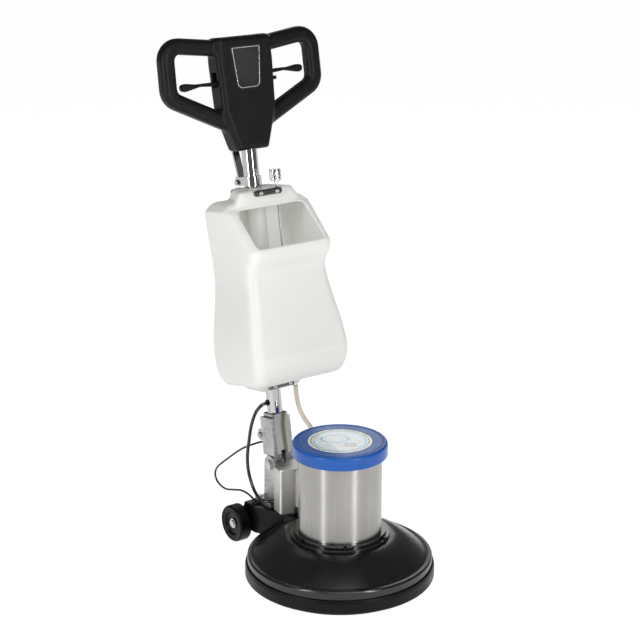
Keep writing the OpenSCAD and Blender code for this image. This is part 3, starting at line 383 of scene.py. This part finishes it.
def mirrored(half):
    """An outline from its half at +X, which runs from one end to the other."""
    return half + [(-q[0],) + tuple(q[1:]) for q in half[::-1]]


def lathe(name, profile, mat, to=WORLD, sides=160, closed=True, steps=5):
    """Turns a profile of (radius, height[, fillet]) round the Z axis of `to`."""
    prof = fillet(profile, closed, steps)
    n = len(prof)
    verts = [(r * math.cos(2 * math.pi * k / sides), r * math.sin(2 * math.pi * k / sides), z)
             for k in range(sides) for r, z in prof]
    faces = []
    for k in range(sides):
        a, b = k * n, ((k + 1) % sides) * n
        for i in range(n if closed else n - 1):
            j = (i + 1) % n
            faces.append((a + i, b + i, b + j, a + j))
    return finish_edges(new_mesh(name, verts, faces, mat, to))


def prism(name, outline, low, high, mat, bevel=1.0, to=WORLD, plane="XY", steps=6):
    """Extrudes a filleted outline between two heights; plane XZ stands it up along Y."""
    pts = fillet(outline, True, steps)
    n = len(pts)
    if plane == "XY":
        verts = [(x, y, z) for z in (low, high) for x, y in pts]
    else:
        verts = [(x, y, z) for y in (high, low) for x, z in pts]
    faces = [tuple(range(n - 1, -1, -1)), tuple(range(n, 2 * n))]
    faces += [(i, (i + 1) % n, n + (i + 1) % n, n + i) for i in range(n)]
    return finish_edges(new_mesh(name, verts, faces, mat, to), bevel, 40)


def path_curve(route, step=3.0):
    """The same smooth curve through the route's points that the CAD cords follow, at even steps."""
    p = np.array(route, float)
    out = []
    for i in range(len(p) - 1):
        a, b, c, d = p[max(i - 1, 0)], p[i], p[i + 1], p[min(i + 2, len(p) - 1)]
        for k in range(24):
            t = k / 24
            bend = t * t * (2 * a - 5 * b + 4 * c - d) / 2
            out.append(b + t * (c - a) / 2 + bend + t ** 3 * (3 * b - a - 3 * c + d) / 2)
    out.append(p[-1])
    q = np.array(out)
    s = np.r_[0, np.cumsum(np.linalg.norm(np.diff(q, axis=0), axis=1))]
    u = np.linspace(0, s[-1], int(s[-1] / step) + 1)
    return np.array([np.interp(u, s, q[:, k]) for k in range(3)]).T


def tube(name, path, radius, mat, sides=20):
    """A round cord along a path."""
    n = len(path)
    tangent = np.gradient(path, axis=0)
    tangent /= np.linalg.norm(tangent, axis=1)[:, None]
    u = np.cross(tangent[0], (0.31, 0.2, 0.93))
    verts = []
    for i in range(n):
        u = u - tangent[i] * (u @ tangent[i])
        u /= np.linalg.norm(u)
        w = np.cross(tangent[i], u)
        for k in range(sides):
            a = 2 * math.pi * k / sides
            verts.append(path[i] + radius * (math.cos(a) * u + math.sin(a) * w))
    faces = []
    for i in range(n - 1):
        here, there = i * sides, (i + 1) * sides
        for k in range(sides):
            j = (k + 1) % sides
            faces.append((here + k, here + j, there + j, there + k))
    faces += [tuple(range(sides - 1, -1, -1)), tuple((n - 1) * sides + k for k in range(sides))]
    return new_mesh(name, verts, faces, mat)


# Smooth shapes from distance functions, meshed with surface nets
def smin(a, b, k):
    """The smaller of two distances, joined by a fillet of about k."""
    h = np.clip(0.5 + 0.5 * (b - a) / k, 0, 1)
    return b + (a - b) * h - k * h * (1 - h)


def smax(a, b, k):
    return -smin(-a, -b, k)


def outline_distance(x, y, pts):
    """Signed distance to a closed outline, negative inside."""
    pts = np.asarray(pts, float)
    best = None
    sign = 1.0
    for i in range(len(pts)):
        a, b = pts[i], pts[i - 1]
        e = b - a
        wx, wy = x - a[0], y - a[1]
        t = np.clip((wx * e[0] + wy * e[1]) / (e @ e), 0, 1)
        d = (wx - e[0] * t) ** 2 + (wy - e[1] * t) ** 2
        best = d if best is None else np.minimum(best, d)
        c1, c2, c3 = y >= a[1], y < b[1], e[0] * wy > e[1] * wx
        sign = np.where((c1 & c2 & c3) | (~c1 & ~c2 & ~c3), -sign, sign)
    return sign * np.sqrt(best)


def line_distance(x, y, pts):
    """Distance to an open line of straight stretches."""
    pts = np.asarray(pts, float)
    best = None
    for a, b in zip(pts[:-1], pts[1:]):
        e = b - a
        wx, wy = x - a[0], y - a[1]
        t = np.clip((wx * e[0] + wy * e[1]) / (e @ e), 0, 1)
        d = (wx - e[0] * t) ** 2 + (wy - e[1] * t) ** 2
        best = d if best is None else np.minimum(best, d)
    return np.sqrt(best)


def slab(d2, h, half, r):
    """A flat shape d2 given thickness 2*half across h, its edges rounded by r."""
    a, b = d2 + r, np.abs(h) - half + r
    return np.minimum(np.maximum(a, b), 0) + np.sqrt(np.maximum(a, 0) ** 2 + np.maximum(b, 0) ** 2) - r


def box_distance(x, y, z, low, high, r=0.0):
    q = [np.abs(v - (a + b) / 2) - (b - a) / 2 + r for v, a, b in zip((x, y, z), low, high)]
    outside = np.sqrt(sum(np.maximum(v, 0) ** 2 for v in q))
    return outside + np.minimum(np.maximum(np.maximum(q[0], q[1]), q[2]), 0) - r


def surface_points(val, cells, low, cell):
    """One point for each cell that the surface passes through: the mean of its edge crossings."""
    total = np.zeros((len(cells), 3))
    count = np.zeros(len(cells))
    for axis in range(3):
        o1, o2 = [a for a in range(3) if a != axis]
        for i in (0, 1):
            for j in (0, 1):
                off = np.zeros(3, int)
                off[o1], off[o2] = i, j
                a = cells + off
                b = a.copy()
                b[:, axis] += 1
                va, vb = val[tuple(a.T)], val[tuple(b.T)]
                hit = (va < 0) != (vb < 0)
                p = a[hit].astype(float)
                p[:, axis] += va[hit] / (va[hit] - vb[hit])
                total[hit] += p
                count[hit] += 1
    return low + cell * total / count[:, None]


def surface_faces(inside, index, size):
    """One quad round each grid edge that the surface crosses."""
    faces = []
    for axis in range(3):
        o1, o2 = [(1, 2), (2, 0), (0, 1)][axis]
        near, far = [slice(None)] * 3, [slice(None)] * 3
        near[axis], far[axis] = slice(0, size[axis] - 1), slice(1, size[axis])
        e = np.argwhere(inside[tuple(near)] != inside[tuple(far)])
        e = e[(e[:, o1] > 0) & (e[:, o2] > 0) & (e[:, o1] < size[o1] - 1) & (e[:, o2] < size[o2] - 1)]
        quad = []
        for i, j in ((1, 1), (0, 1), (0, 0), (1, 0)):
            c = e.copy()
            c[:, o1] -= i
            c[:, o2] -= j
            quad.append(index[tuple(c.T)])
        quad = np.array(quad).T
        flip = ~inside[tuple(e.T)]
        quad[flip] = quad[flip][:, ::-1]
        faces.append(quad)
    faces = np.concatenate(faces)
    return faces[(faces >= 0).all(1)]


def pull_to_surface(f, verts, cell):
    """Moves each point down the slope of f to its zero surface, by at most 0.6 of a cell."""
    start = verts.copy()
    for _ in range(3):
        v = f(*verts.T)
        g = np.array([(f(*(verts + d).T) - f(*(verts - d).T)) / 0.4 for d in np.eye(3) * 0.2]).T
        move = -(v / np.maximum((g ** 2).sum(1), 0.3))[:, None] * g
        length = np.linalg.norm(move, axis=1)
        verts = verts + move * np.minimum(1, 0.4 * cell / np.maximum(length, 1e-9))[:, None]
    gap = verts - start
    far = np.linalg.norm(gap, axis=1)
    return start + gap * np.minimum(1, 0.6 * cell / np.maximum(far, 1e-9))[:, None]


def sculpt(name, f, low, high, cell, mat, to=WORLD):
    """The zero surface of f as a smooth mesh."""
    low, high = np.array(low, float), np.array(high, float)
    size = np.ceil((high - low) / cell).astype(int) + 1
    gx, gy, gz = (low[k] + cell * np.arange(size[k]) for k in range(3))
    val = np.asarray(f(gx[:, None, None], gy[None, :, None], gz[None, None, :]), np.float32)
    val = np.broadcast_to(val, tuple(size)).copy()
    inside = val < 0
    corner = sum(inside[i:size[0] - 1 + i, j:size[1] - 1 + j, k:size[2] - 1 + k].astype(np.int8)
                 for i in (0, 1) for j in (0, 1) for k in (0, 1))
    active = (corner > 0) & (corner < 8)
    cells = np.argwhere(active)
    index = np.full(active.shape, -1, np.int64)
    index[active] = np.arange(len(cells))
    verts = pull_to_surface(f, surface_points(val, cells, low, cell), cell)
    return new_mesh(name, verts, surface_faces(inside, index, size), mat, to)


def settle(obj, body, slot, *stands_for):
    """Puts a piece on the body that it rides on and hides the CAD nodes that it stands for. The slot argument
    is not used.
    """
    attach(obj, body)
    if stands_for:
        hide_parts(*stands_for)


# ---------------------------------------------------------------- cords
MOTOR_ROUTE = [[-23, 270, 363], [-38, 272, 358], [-50, 278, 340], [-55, 289, 306], [-56, 298, 266],
               [-57, 305, 222], [-57, 302, 184], [-57, 287, 152], [-59, 266, 134], [-60, 246, 127],
               [-56, 231, 126], [-47, 220, 126]]
THIN_ROUTE = [[-14, 283, 255], [-17, 297, 252], [-28, 318, 242], [-44, 352, 221], [-58, 398, 182],
              [-66, 430, 152], [-69, 436, 131], [-71, 420, 115], [-72, 385, 110], [-71, 350, 119],
              [-67, 322, 126], [-62, 300, 124], [-58, 277, 115]]
HOSE_ROUTE = [[34, 227, 410], [34, 223, 385], [35, 214, 356], [39, 198, 332], [46, 178, 310],
              [54, 161, 286], [60, 149, 252], [64, 141, 212], [66, 137, 168], [66, 136, 126]]


def lay_cord(name, node, route, radius, mat):
    """Lays a round cord of the given radius along the route, in place of the CAD node."""
    path = path_curve(route)
    obj = tube(name, path, radius, mat)
    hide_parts(node)
    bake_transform(obj)


lay_cord("motor_lead", "motor_cable", MOTOR_ROUTE, 4.2, M["cable"])
lay_cord("thin_lead", "accessory_cable", THIN_ROUTE, 2.6, M["cable"])
lay_cord("solution_hose", "water_hose", HOSE_ROUTE, 5.5, M["hose"])


# ---------------------------------------------------------------- deck and motor
DECK_R, BUMPER_T, RIM_Z, TOP_Z = 225.0, 5.5, 62.0, 112.0
RIM_R = DECK_R - BUMPER_T
DOME_R, DOME_END = 124.0, RIM_R - 15
MOTOR_R, MOTOR_LOW, MOTOR_HIGH, MOTOR_WALL = 98.5, 127, 338, 2
CAP_Z, CAP_R = 314.0, 112
SKIRT_Z = 14


def dome(r):
    return TOP_Z - (TOP_Z - RIM_Z - 2) * ((r - DOME_R) / (DOME_END - DOME_R)) ** 1.5


def deck_shroud():
    radii = [DOME_R + (DOME_END - DOME_R) * i / 40 for i in range(41)]
    outer = [(90, TOP_Z, 0), (DOME_R - 6, TOP_Z, 0)]
    outer += [(r, dome(r), 0) for r in radii]
    outer += [(RIM_R - 12, RIM_Z, 3), (RIM_R - 9, RIM_Z + 2, 2), (RIM_R - 3, RIM_Z + 2, 2),
              (RIM_R, RIM_Z - 2, 3), (RIM_R, SKIRT_Z, 1)]
    inner = [(RIM_R - 4, SKIRT_Z, 1), (RIM_R - 4, RIM_Z - 6, 6)]
    inner += [(r - 2, dome(r) - 4, 0) for r in radii[::-4]]
    inner += [(90, TOP_Z - 4, 0)]
    shroud = lathe("shroud_dome", outer + inner, M["shell"], sides=256)
    settle(shroud, "base", "black_shroud", "shroud")


def deck_bumper():
    profile = [(RIM_R + 0.1, 10, 1), (DECK_R - 2.5, 10, 2), (DECK_R, 14, 2), (DECK_R, 36, 2.5),
               (DECK_R - 2, 44, 2), (RIM_R + 0.1, 44, 0.5)]
    bumper = lathe("bumper_ring", profile, M["rubber"], sides=256)
    settle(bumper, "base", "black_rubber", "bumper")


def motor_shell():
    profile = [(r, z, 0.4) for r, z in ((MOTOR_R - MOTOR_WALL, MOTOR_LOW), (MOTOR_R, MOTOR_LOW),
                                        (MOTOR_R, MOTOR_HIGH), (MOTOR_R - MOTOR_WALL, MOTOR_HIGH))]
    motor = lathe("motor_shell", profile, M["stainless"], sides=256)
    settle(motor, "base", "stainless", "motor_housing")


def motor_cap():
    """The blue cap, with a groove round its rim and a pocket for the label."""
    profile = [(76, 24, 0), (CAP_R - 4, 24, 2), (CAP_R - 4, 0, 1), (CAP_R, 0, 1.5),
               (CAP_R, 22, 2), (111.3, 28, 5), (107.5, 31.9, 3), (103, 31.9, 1),
               (102, 30.4, 0.7), (100, 30.4, 0.7), (99, 31.4, 1), (84, 31.4, 0),
               (75.3, 31.4, 0.3), (75.2, 30.2, 0)]
    cap = lathe("motor_cap_shell", [(r, CAP_Z + z, f) for r, z, f in profile], M["blue"], sides=256)
    settle(cap, "base", "blue_cap", "motor_cap")


deck_shroud()
deck_bumper()
motor_shell()
motor_cap()


# ---------------------------------------------------------------- capacitor box
BOX_REAR, BOX_LOW, BOX_HIGH = 219.0, 108, 226
NECK_HALF, NECK_FROM, NECK_TO = 18, 97, 160


def capacitor_box():
    half = [(22, BOX_REAR - 64, 10), (52, BOX_REAR - 48, 7), (48, BOX_REAR - 14, 9), (34, BOX_REAR, 9)]
    box = prism("capacitor_cover", mirrored(half), BOX_LOW, BOX_HIGH, M["box"], 5.0)
    settle(box, "base", "stainless", "capacitor_box")
    corners = [(-NECK_HALF, NECK_FROM), (NECK_HALF, NECK_FROM), (NECK_HALF, NECK_TO), (-NECK_HALF, NECK_TO)]
    neck = prism("capacitor_neck", corners, 128, 224, M["box"], 1.5)
    settle(neck, "base", "stainless")


capacitor_box()


# ---------------------------------------------------------------- wheels
AXLE_Y, AXLE_Z = 300, 55
TYRE = [(33, 78.4, 2), (42, 78.2, 4), (45.9, 82, 4), (45.9, 108, 4), (43, 111.9, 3), (39, 111.9, 2.5),
        (37.5, 110.6, 1), (33, 110.6, 1)]
HUB = [(8.1, 78.2, 0.5), (33, 78.6, 1), (33, 110.4, 1), (30, 110.4, 1.5), (27.5, 104.6, 3),
       (17, 103.6, 2), (15, 104, 1), (8.1, 104, 0.6)]


def wheel(side, body):
    """A wheel's profiles hold the radius and the distance out from the machine's middle."""
    to = Matrix.Translation((0, AXLE_Y, AXLE_Z)) @ Matrix.Rotation(math.radians(90 * side), 4, "Y")
    tyre = lathe(body + "_tyre", TYRE, M["tyre"], to, 96)
    hub = lathe(body + "_hub", HUB, M["hub"], to, 96)
    settle(tyre, body, "black_rubber", body)
    settle(hub, body, "black_rubber", body)


wheel(-1, "left_wheel")
wheel(1, "right_wheel")


# ---------------------------------------------------------------- handle
TOP, REACH = 1040.0, 203.0
GRIP_R, HOUSING_HALF_T, HANDLE_EDGE = 19, 28, 13
LOOP = fillet([(40, TOP - 27), (REACH, TOP - 6, 34), (REACH + 2, TOP - 128, 34), (30, TOP - 212)], False, 10)
HOUSING = fillet(mirrored([(44, TOP - 268, 8), (57, TOP - 228, 30), (74, TOP - 170, 40), (78, TOP - 60, 40),
                           (76, TOP - 8, 8), (68, TOP, 10)]))
LEVER_Z = {-1: TOP - 106, 1: TOP - 90}
LEVER_X, LEVER_HALF_T, LEVER_EDGE = 58, 9, 4.4
LEVER = fillet([(-10, -5, 2), (-6, 6, 3), (22, 5, 20), (74, 5, 30), (100, 9, 14), (111, 7, 6), (114, 1, 4),
                (112, -7, 5), (104, -10, 6), (92, -8, 12), (62, -2, 40), (40, -4, 30), (10, -6, 6)])


def handle_shape(x, y, z):
    loop = slab(line_distance(np.abs(x), z, LOOP) - GRIP_R, y, GRIP_R, 14)
    body = slab(outline_distance(x, z, HOUSING), y, HOUSING_HALF_T, HANDLE_EDGE)
    d = smin(loop, body, 9)
    for side, lever_z in LEVER_Z.items():
        cut = box_distance(side * x, y, z, (56, -10, lever_z - 7), (100, 10, lever_z + 27), 2)
        d = smax(d, -cut, 2)
    socket = np.maximum(np.sqrt(x * x + y * y) - 20, z - (TOP - 240))
    return smax(d, -socket, 2)


def handle():
    shell = sculpt("handle_shell", handle_shape, (-228, -32, 764), (228, 32, 1058), 2.0, M["nylon"], COLUMN)
    settle(shell, "column", "black_nylon", "handle_front", "handle_rear")


def squeeze_lever(side, body):
    def shape(x, y, z):
        d = outline_distance(side * x - LEVER_X, z - LEVER_Z[side], LEVER)
        return slab(d, y, LEVER_HALF_T, LEVER_EDGE)

    near, far = sorted((side * 44, side * 176))
    low, high = (near, -12, LEVER_Z[side] - 14), (far, 12, LEVER_Z[side] + 13)
    lever = sculpt(body + "_grip", shape, low, high, 1.3, M["nylon"], COLUMN)
    settle(lever, body, "black_nylon", body)


handle()
squeeze_lever(-1, "left_lever")
squeeze_lever(1, "right_lever")

# The badge is a plain panel with a silver line round it
BADGE_Z = TOP - 38
BADGE = [(-42, 15, 5), (42, 15, 5), (33, -86, 16), (-33, -86, 16)]


def badge_line(inset):
    """The badge's outline moved inward, with tighter corners."""
    return fillet([(x - math.copysign(inset, x), z - math.copysign(inset, z), max(r - inset, 1))
                   for x, z, r in BADGE], True, 8)


def badge():
    outline = [(x, z + BADGE_Z, r) for x, z, r in BADGE]
    panel = prism("badge_panel", outline, -28.7, -27.5, M["badge"], 0.3, COLUMN, "XZ", 8)
    settle(panel, "column", "badge", "handle_badge")
    rings = badge_line(3.0), badge_line(4.7)
    verts = [(x, y, z + BADGE_Z) for y in (-28.95, -28.6) for ring in rings for x, z in ring]
    n = len(rings[0])
    faces = []
    for i in range(n):
        j = (i + 1) % n
        faces += [(i, j, n + j, n + i), (2 * n + j, j, i, 2 * n + i),
                  (n + i, n + j, 3 * n + j, 3 * n + i), (2 * n + i, 3 * n + i, 3 * n + j, 2 * n + j)]
    line = new_mesh("badge_outline", verts, faces, M["line"], COLUMN)
    settle(line, "column", "badge")


badge()


# ---------------------------------------------------------------- tank
TANK_Z, TANK_TOP, TANK_WALL = 215.0, 685.0, 5
FRONT, REAR_Y, HALF_W = 154.0, 36.0, 136.0
BULGE, WAIST, LIP = TANK_Z + 80, TANK_Z + 268, TANK_Z + 334
WAIST_F, WAIST_W, LIP_F = FRONT - 32, HALF_W - 22, FRONT - 4
RIDGE_F, RIDGE_LOW, RIDGE_W = 62.0, TANK_TOP - 41, 75.0
FOOT_W, FOOT_Z = 97.0, TANK_TOP - 28
SHOULDER, SHOULDER_W = TANK_TOP - 46, HALF_W - 14
CHANNEL_R = 20
MOUTH_W, MOUTH_CORNER, MOUTH_RIM = 95, 10, 6
VALVE_X, VALVE_Y, ROD_HOLE_R, VALVE_HOLE_R = 34, -50, 5, 8.5
STEPS = 14


def swell(a, b, t):
    """Goes from a to b with a level start and end."""
    return a + (b - a) * (1 - math.cos(math.pi * t)) / 2


def belly(size, corner):
    """The round lower corner of a wall that stands at `size`, as (size, height) points."""
    turns = [math.pi / 2 * k / STEPS for k in range(STEPS + 1)]
    return [(size - corner + corner * math.sin(t), BULGE - 80 * math.cos(t)) for t in turns]


def side_outline():
    """The tank from its side, as (y, height) points."""
    shares = [k / STEPS for k in range(1, STEPS + 1)]
    pts = [(REAR_Y, TANK_Z + 22), (REAR_Y - 16, TANK_Z)]
    pts += [(-y, z) for y, z in belly(FRONT, 46)]
    pts += [(-swell(FRONT, WAIST_F, t), swell(BULGE, WAIST, t)) for t in shares]
    pts += [(-swell(WAIST_F, LIP_F, t), WAIST + (LIP - 10 - WAIST) * t) for t in shares]
    pts += [(-LIP_F, LIP), (-RIDGE_F, RIDGE_LOW), (-RIDGE_F, TANK_TOP - 6), (6 - RIDGE_F, TANK_TOP)]
    return pts + [(REAR_Y - 8, TANK_TOP), (REAR_Y, TANK_TOP - 8)]


def front_outline():
    """The tank from its front, as (x, height) points."""
    shares = [k / STEPS for k in range(1, STEPS + 1)]
    pts = belly(HALF_W, 26)
    pts += [(swell(HALF_W, WAIST_W, t), BULGE + (WAIST - BULGE) * t) for t in shares]
    pts += [(swell(WAIST_W, SHOULDER_W, t), WAIST + (SHOULDER - WAIST) * t) for t in shares]
    pts += [((SHOULDER_W + FOOT_W) / 2, (SHOULDER + FOOT_Z) / 2), (FOOT_W, FOOT_Z), (RIDGE_W, TANK_TOP)]
    return mirrored(pts)


SIDE, EDGE = side_outline(), front_outline()
NECK = fillet([(-92, TANK_Z + 12), (-52, TANK_Z - 24, 16), (52, TANK_Z - 24, 16), (92, TANK_Z + 12)])
RUN = math.hypot(LIP_F - RIDGE_F, RIDGE_LOW - LIP)
SLOPE = np.array([LIP_F - RIDGE_F, RIDGE_LOW - LIP]) / RUN


def tank_body(x, y, z):
    """The moulded form without its neck; its edges are softer toward the front."""
    soft = 8 + 18 * np.clip(-y / 60, 0, 1)
    form = smax(outline_distance(y, z, SIDE), outline_distance(x, z, EDGE), soft)
    # The ridge narrows toward the rear, above the shoulders
    beyond = (np.abs(x) - FOOT_W) * 0.915 + (y + RIDGE_F + 10) * 0.404 + 0.5 * np.maximum(z - FOOT_Z, 0)
    return smax(form, -smax(-beyond, FOOT_Z - z, 6), 8)


def tank_mouth(x, y, z):
    """A round-cornered hole square to the slope between the lip and the ridge."""
    v = y + (LIP_F + RIDGE_F) / 2
    w = z - (LIP + RIDGE_LOW) / 2
    along = v * SLOPE[0] + w * SLOPE[1]
    off = -v * SLOPE[1] + w * SLOPE[0]
    q0 = np.abs(x) - MOUTH_W + MOUTH_CORNER
    q1 = np.abs(along) - (RUN / 2 - MOUTH_RIM) + MOUTH_CORNER
    outside = np.sqrt(np.maximum(q0, 0) ** 2 + np.maximum(q1, 0) ** 2)
    hole = outside + np.minimum(np.maximum(q0, q1), 0) - MOUTH_CORNER
    return np.maximum(hole, np.abs(off) - 30)


def tank_shape(x, y, z):
    form = tank_body(x, y, z)
    neck = smax(outline_distance(x, z, NECK), np.abs(y + 2) - 38, 12)
    channel = np.where(y > 0, np.abs(x), np.sqrt(x * x + y * y)) - CHANNEL_R
    cavity = smax(form + TANK_WALL, -(channel - TANK_WALL), 9)
    d = smax(smin(form, neck, 9), -cavity, 2.0)
    d = smax(d, -tank_mouth(x, y, z), 4)
    d = smax(d, -channel, 3)
    valve = np.sqrt((x - VALVE_X) ** 2 + (y - VALVE_Y) ** 2)
    rod_hole = np.maximum(valve - ROD_HOLE_R, TANK_TOP - 25 - z)
    outlet = np.maximum(valve - VALVE_HOLE_R, z - (TANK_Z + 25))
    return smax(smax(d, -rod_hole, 1), -outlet, 1)


tank = sculpt("solution_tank", tank_shape, (-141, -159, 185), (141, 42, 691), 2.6, M["milky"], COLUMN)
settle(tank, "column", "tank_plastic", "tank")


# ---------------------------------------------------------------- the CAD nodes that stay
# Each with its material and the width of its bevel
KEEP = dict(
    floor_bolts=("paint", 0.4), motor_collar=("collar", 0.8), motor_plate=("cast", 0.5),
    cap_label=("label", 0.0), end_shield=("cast", 0.5), stator_core=("dark", 0.0),
    stator_windings=("copper", 3.0), tie_bolts=("steel", 0.3), bearings=("steel", 0.4),
    gear_case=("cast", 1.0), ring_gear=("steel", 0.0), capacitors=("white", 1.5),
    wheel_bracket=("paint", 2.0), axle=("steel", 1.0), axle_clips=("steel", 0.3), base_yoke=("cast", 1.6),
    yoke_bolts=("steel", 0.4), pivot_bolt=("steel", 0.6), hose_inlet=("steel", 0.4),
    cable_glands=("collar", 0.6), rotor_core=("dark", 0.0), rotor_shaft=("steel", 0.0),
    cooling_fan=("grey", 0.4), output_carrier=("steel", 0.5), clutch_plate=("steel", 0.8),
    pad_driver=("grey", 1.0), floor_pad=("pad", 1.0), planet_gear_1=("bronze", 0.0),
    planet_gear_2=("bronze", 0.0), planet_gear_3=("bronze", 0.0), column_tube=("chrome", 0.0),
    column_socket=("channel", 1.2), column_foot=("cast", 1.4), column_bolts=("chrome", 0.5),
    tank_clamps=("strip", 0.8), clamp_bolts=("chrome", 0.4), valve_body=("steel", 0.5),
    cable_bushings=("rubber", 0.8), lever_bracket=("chrome", 1.0), microswitches=("grey", 0.6),
    safety_button=("nylon", 0.7), adjusting_lever=("chrome", 1.6), lock_rod=("steel", 0.5),
    valve_rod=("chrome", 0.5),
)
for name, (key, bevel) in KEEP.items():
    obj = nodes[name]
    obj.data.materials.clear()
    obj.data.materials.append(M[key])
    finish_edges(obj, bevel, 40, 2, True)


# ---------------------------------------------------------------- light and floor
floor_mesh = bpy.data.meshes.new("studio_floor")
floor_mesh.from_pydata([(-30, -30, 0), (30, -30, 0), (30, 30, 0), (-30, 30, 0)], [], [(0, 1, 2, 3)])
floor = bpy.data.objects.new("studio_floor", floor_mesh)
bpy.context.scene.collection.objects.link(floor)
fl = Nodes("mat_floor")
fl.finish((0.35, 0.35, 0.35), 0.9, 0.0, None, Specular_IOR_Level=0.0)
fl.bsdf.inputs["Emission Color"].default_value = (1, 1, 1, 1)
fl.bsdf.inputs["Emission Strength"].default_value = 0.93
floor_mesh.materials.append(fl.mat)

world = bpy.data.worlds.new("studio")
bpy.context.scene.world = world
world.use_nodes = True
back = world.node_tree.nodes["Background"]
back.inputs["Color"].default_value = (0.95, 0.97, 1.0, 1)
back.inputs["Strength"].default_value = 0.16


def softbox(name, place, target, width, height, power, color=(1, 1, 1)):
    data = bpy.data.lights.new(name, "AREA")
    data.shape, data.size, data.size_y, data.energy, data.color = "RECTANGLE", width, height, power, color
    obj = bpy.data.objects.new(name, data)
    bpy.context.scene.collection.objects.link(obj)
    look(obj, place, target)


def around(azimuth, radius, height):
    a = math.radians(azimuth)
    return (radius * math.sin(a), -radius * math.cos(a), height)


softbox("strip_left", around(CAMERA_AZ - 44, 3.0, 1.5), (0, 0, 0.6), 0.3, 2.4, 46, (0.98, 0.99, 1.0))
softbox("strip_right", around(CAMERA_AZ + 40, 3.0, 1.5), (0, 0, 0.6), 0.26, 2.4, 46, (0.98, 0.99, 1.0))
softbox("overhead", (-1.2, -2.4, 3.4), (0, 0.1, 0.5), 2.6, 2.6, 40)
softbox("rear_fill", around(CAMERA_AZ + 175, 3.4, 2.2), (0, 0.2, 0.8), 1.6, 1.6, 14)

bpy.context.scene.view_settings.view_transform = "Standard"
